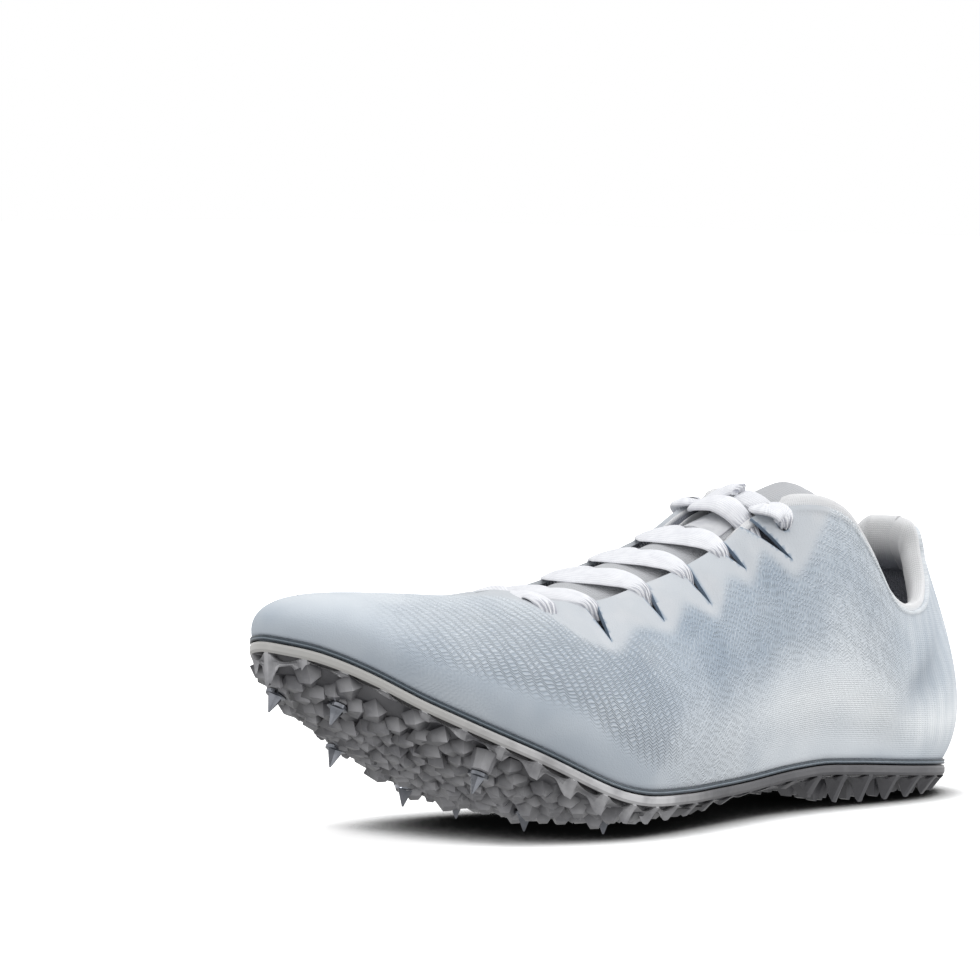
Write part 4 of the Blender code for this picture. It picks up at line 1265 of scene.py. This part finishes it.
def make_tongue(made, label):
    """Knit tongue with a rolled edge, and its bare label patch."""
    first, last = TONGUE[0][0], TONGUE[-1][0]
    parts = np.linspace(-1, 1, 33)
    rings = []
    for along in np.linspace(first, last, 70):
        end = float(smooth_step(0.045, 0.0, along - last))
        lower, upper = [], []
        for part in parts:
            thin = math.sqrt(max(1 - abs(part) ** 8, 0.0)) * math.sqrt(max(1 - end**3, 0.02))
            swell = 0.5 * MM * float(bump_at(abs(part), 0.86, 0.09))
            swell += 0.9 * MM * float(bump_at(end, 0.6, 0.35))
            middle = tongue_point(along, part, TONGUE_THICKNESS / 2)
            half = (TONGUE_THICKNESS / 2 + swell) * max(thin, 0.08)
            lower.append(middle - (0, 0, half))
            upper.append(middle + (0, 0, half))
        rings.append(lower + upper[::-1])
    tongue = sweep("knit_tongue", rings, made)
    finish_piece(tongue, "tongue", "tongue")
    start, end, half = LABEL
    reach = half / TONGUE_HALF_AT_LABEL
    parts = np.linspace(-reach, reach, 21)
    rings = []
    for along in np.linspace(start, end, 24):
        lift = TONGUE_THICKNESS + 0.1 * MM
        lower = [tongue_point(along, part, lift) for part in parts]
        upper = [tongue_point(along, part, lift + 0.5 * MM) for part in parts]
        rings.append(lower + upper[::-1])
    patch = sweep("bare_label", rings, label)
    patch.data.set_sharp_from_angle(angle=math.radians(40))
    finish_piece(patch, "label", "tongue_label")


def ribbon(name, path, widths, lifts, made, thick=1.0):
    """Flat lace along a path: each point has a width share and the direction of its upper face."""
    path = np.asarray(path, float)
    keys = np.concatenate([[0], np.cumsum(np.linalg.norm(np.diff(path, axis=0), axis=1))])
    at = np.linspace(0, keys[-1], max(24, int(keys[-1] / (0.6 * MM))))
    line = interpolate(keys, path, at)
    wide = interpolate(keys, np.asarray(widths, float), at)
    lifts = interpolate(keys, np.asarray(lifts, float), at)
    tangent = np.gradient(line, axis=0)
    tangent /= np.linalg.norm(tangent, axis=1)[:, None]
    rings, gather = [], []
    count = 28
    for place, ahead, up, share in zip(line, tangent, lifts, wide):
        up = up - ahead * np.dot(up, ahead)
        up /= np.linalg.norm(up)
        across = np.cross(ahead, up)
        folds = float(smooth_step(0.66, 0.42, share))
        ring = []
        for k in range(count):
            a = TURN * k / count
            flat = math.copysign(abs(math.cos(a)) ** 0.75, math.cos(a))
            crease = 0.5 * MM * folds * math.cos(flat * 9.0)
            thin = math.copysign(abs(math.sin(a)) ** 0.7, math.sin(a))
            thin = thin * LACE_THICKNESS / 2 * (thick + folds)
            drop = -0.9 * MM * share * flat * flat
            ring.append(place + across * flat * LACE_WIDTH / 2 * share + up * (thin + crease + drop))
            gather.append(folds)
        rings.append(ring)
    return sweep(name, rings, made, values={"gather": gather})


# Lace crossings: rib of each end on the lateral and medial side, height share there, rise over the
# tongue in mm, and how far the middle runs ahead of the ends in mm
CROSSINGS = (
    (15.45, 15.3, 0.84, 1.8, 6.0),
    (14.15, 14.0, 0.99, 0.5, 5.0),
    (13.05, 13.0, 0.99, 0.5, 5.0),
    (12.05, 12.0, 0.99, 0.6, 5.0),
    (11.15, 11.0, 0.99, 1.0, 4.5),
)


def crest_at(x, rise):
    """Point of a lace over the middle of the tongue, and the direction up from the tongue there."""
    near, far = tongue_point(x / LENGTH - 0.02, 0.0, 0.0), tongue_point(x / LENGTH + 0.02, 0.0, 0.0)
    slope = (far - near) / np.linalg.norm(far - near)
    upward = np.array([-slope[2], 0.0, slope[0]])
    return tongue_point(x / LENGTH, 0.0, TONGUE_THICKNESS + LACE_THICKNESS / 2) + upward * rise * MM, upward


def make_laces(made):
    """One flat lace in crossings: out of each slit, over the tongue and down into the slit opposite."""
    for number, (lateral, medial, height, rise, ahead) in enumerate(CROSSINGS):
        ends = [wall_frame(side, index, height) for side, index in ((0, lateral), (1, medial))]
        middle_x = (ends[0][0][0] + ends[1][0][0]) / 2 + ahead * MM
        crest, upward = crest_at(middle_x, rise)
        path, lifts, widths = [crest], [upward], [1.0]
        for side, index, end, first in zip((0, 1), (lateral, medial), ends, (True, False)):
            here, out, up, _ = end
            deep = here - out * (UPPER_WALL + 2.2 * MM) - up * 5.5 * MM
            mouth = here - up * 1.0 * MM + out * 0.2 * MM
            shoulder = here + (crest - here) * 0.42
            shoulder[2] = here[2] + (crest[2] - here[2]) * 0.80 + 0.3 * MM
            row = [(shoulder, upward + out * 0.35, 0.96)]
            if height < 0.9:
                over, over_out, _, _ = wall_frame(side, index, height + 0.09)
                row = [(over + over_out * 1.3 * MM, over_out, 0.80)]
                mouth = here + out * 1.0 * MM
            row += [(mouth, up * 0.7 + out * 0.7, 0.50), (deep, out * 0.9 + up * 0.4, 0.36)]
            for place, lift, wide in row:
                if first:
                    path.insert(0, place)
                    lifts.insert(0, lift)
                    widths.insert(0, wide)
                else:
                    path.append(place)
                    lifts.append(lift)
                    widths.append(wide)
        piece = ribbon(f"lace_crossing_{number + 1}", path, widths, lifts, made)
        finish_piece(piece, "lace", f"lace_bar_{number + 1}")
    make_top_lace(made)


# Top of the lace: along, part across the tongue, height above the tongue in mm, width share
TOP_HUMP = (
    (0.354, 1.02, 0.8, 0.34),
    (0.351, 0.72, 2.8, 0.56),
    (0.352, 0.20, 4.0, 0.80),
    (0.350, -0.28, 4.3, 0.84),
    (0.336, -0.52, 4.2, 0.80),
    (0.318, -0.36, 4.6, 0.74),
    (0.309, -0.14, 4.0, 0.66),
    (0.308, 0.00, 2.8, 0.30),
)
TOP_CROSSING = (
    (0.300, -0.85, 1.4, 0.50),
    (0.306, -0.20, 1.5, 0.66),
    (0.312, 0.40, 1.9, 0.68),
    (0.310, 0.85, 2.4, 0.66),
)


def make_top_lace(made):
    """Slack hump over the top fingers, and the ridged end that dives into the top eyelets."""
    pieces = []
    for name, table in (("hump", TOP_HUMP), ("crossing", TOP_CROSSING)):
        path, lifts, widths = [], [], []
        for along, part, rise, wide in table:
            spot, upward = crest_at(along * LENGTH, rise)
            side = tongue_point(along, part, 0.0) - tongue_point(along, 0.0, 0.0)
            path.append(spot + side)
            lifts.append(upward + np.array([0.0, 0.5 * part, 0.0]))
            widths.append(wide)
        if name == "crossing":
            for side, at_end in ((0, True), (1, False)):
                here, out, up, _ = wall_frame(side, *EYELET_PLACE)
                edge, edge_out, edge_up, _ = wall_frame(side, EYELET_PLACE[0] + 0.25, 1.0)
                lip = edge + edge_out * 0.9 * MM + edge_up * 1.2 * MM
                over = here + out * 1.6 * MM + up * 2.4 * MM
                inside = here - out * (UPPER_WALL + 1.0 * MM)
                steps = [(lip, edge_out * 0.7 + edge_up, 0.68), (over, out + up * 0.3, 0.62)]
                steps += [(here + out * 0.5 * MM, out, 0.34), (inside, up, 0.28)]
                for place, lift, wide in steps:
                    position = len(path) if at_end else 0
                    path.insert(position, place)
                    lifts.insert(position, lift)
                    widths.insert(position, wide)
        pieces.append(ribbon(f"lace_top_{name}", path, widths, lifts, made, thick=2.2))
    join_meshes(pieces[0], pieces[1:])
    finish_piece(pieces[0], "lace", "lace_bar_6")


# Camera, floor and lights, in the part's own frame

CAMERA_PLACE = (1.4500, 1.2950, 0.2119)
CAMERA_RIGHT = (-0.6831, 0.7302, 0.0115)
CAMERA_UP = (-0.0363, -0.0497, 0.9981)
CAMERA_AHEAD = (-0.7294, -0.6814, -0.0604)
FOCAL_PIXELS = 6394.69
CENTRE_PIXELS = (490.964, 506.519)
FRAME_PIXELS = 980
SENSOR = 36.0


def make_camera():
    lens = bpy.data.cameras.new("photo_camera")
    lens.sensor_width = SENSOR
    lens.lens = FOCAL_PIXELS / FRAME_PIXELS * SENSOR
    lens.shift_x = (FRAME_PIXELS / 2 - CENTRE_PIXELS[0]) / FRAME_PIXELS
    lens.shift_y = (CENTRE_PIXELS[1] - FRAME_PIXELS / 2) / FRAME_PIXELS
    lens.clip_end = 20.0
    camera = bpy.data.objects.new("photo_camera", lens)
    back = -np.array(CAMERA_AHEAD)
    turn = Matrix(np.array([CAMERA_RIGHT, CAMERA_UP, back]).T.tolist()).to_4x4()
    camera.matrix_world = Matrix.Translation(CAMERA_PLACE) @ turn
    bpy.context.collection.objects.link(camera)
    bpy.context.scene.camera = camera


def add_area(name, place, target, size, power):
    light = bpy.data.lights.new(name, "AREA")
    light.shape = "RECTANGLE"
    light.size, light.size_y = size
    light.energy = power
    lamp = bpy.data.objects.new(name, light)
    lamp.location = place
    lamp.rotation_euler = (Vector(target) - Vector(place)).to_track_quat("-Z", "Y").to_euler()
    bpy.context.collection.objects.link(lamp)


# Brightness of the studio's surround at each height: 0 straight down, 0.5 level and 1 straight up
SURROUND = (
    (0.00, 0.46),
    (0.43, 0.46),
    (0.46, 1.00),
    (0.54, 1.00),
    (0.60, 0.68),
    (0.80, 0.98),
    (1.00, 1.22),
)


# How near the shoe the floor's painted contact shadow starts to darken it
CONTACT = 0.026


def make_stage():
    """Plain white floor in a white studio, brighter from above than from the sides; the floor glows evenly
    white and has a painted contact shadow near the shoe.
    """
    white = Finish("floor_white", (0.97, 0.97, 0.97), 0.9, Specular_IOR_Level=0.0, Emission_Strength=1.0)
    # Painted contact shadow: an occlusion test darkens the floor's colour and glow near the shoe
    contact = white.node("ShaderNodeAmbientOcclusion", {"samples": 6}, {"Distance": CONTACT}, "AO")
    clear_of_painted_shadow = contact.ramp(0.30, 0.88)
    white.colour(white.mix(clear_of_painted_shadow, (0.02, 0.02, 0.02), (0.97, 0.97, 0.97)))
    white.feed(white.shader, {"Emission Color": white.mix(clear_of_painted_shadow, (0.0, 0.0, 0.0), (0.55, 0.55, 0.55))})
    mesh = bpy.data.meshes.new("floor")
    reach = 8.0
    corners = [(-reach, -reach, 0), (reach, -reach, 0), (reach, reach, 0), (-reach, reach, 0)]
    mesh.from_pydata(corners, [], [(0, 1, 2, 3)])
    mesh.materials.append(white.material)
    floor = bpy.data.objects.new("floor", mesh)
    floor.visible_diffuse = False
    floor.visible_glossy = False
    bpy.context.collection.objects.link(floor)
    world = bpy.data.worlds.new("studio")
    world.use_nodes = True
    graph = Graph(world.node_tree)
    place = graph.node("ShaderNodeTexCoord", output="Generated")
    height = graph.node("ShaderNodeSeparateXYZ", {}, {0: place}, "Z")
    shade = graph.node("ShaderNodeValToRGB", {"stops": SURROUND}, {0: height * 0.5 + 0.5}, "Color")
    graph.feed(world.node_tree.nodes["Background"], {"Color": shade})
    bpy.context.scene.world = world
    add_area("top_light", (-0.25, 0.15, 1.6), (0.0, 0.0, 0.0), (1.1, 0.9), 5.6)
    add_area("rear_light", (-0.85, 1.15, 0.22), (-0.10, 0.0, 0.02), (0.5, 0.3), 6.0)
    add_area("toe_light", (1.20, -0.25, 0.10), (0.10, 0.0, 0.02), (0.4, 0.15), 1.0)
    bpy.context.scene.view_settings.view_transform = "Standard"


def main():
    make_camera()
    make_stage()
    lining = knit_finish("inner_knit", (0.30, 0.31, 0.35), (0.20, 0.21, 0.25), 1.0 * MM, 0.2 * MM)
    rim = knit_finish("rim_knit", (0.74, 0.745, 0.755), (0.56, 0.57, 0.59), 0.8 * MM, 0.12 * MM, "shade")
    make_upper(upper_finish(), lining)
    make_outsole(plate_finish())
    make_rand(rand_finish())
    make_spikes(plain_finish("spike_metal", (0.27, 0.28, 0.31), (0.16, 0.17, 0.19), 0.13, 0.02 * MM, 1.0))
    make_collar_lining(rim)
    tongue = knit_finish("tongue_knit", (0.47, 0.48, 0.50), (0.34, 0.35, 0.38), 1.0 * MM, 0.15 * MM)
    make_tongue(tongue, plain_finish("label_film", (0.62, 0.63, 0.65), (0.52, 0.53, 0.56), 0.38, 0.05 * MM))
    make_laces(lace_finish())
    insole = plain_finish("insole_cloth", (0.20, 0.21, 0.24), (0.13, 0.14, 0.16), 0.9, 0.2 * MM)
    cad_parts["insole"].data.materials.clear()
    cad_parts["insole"].data.materials.append(insole)


main()
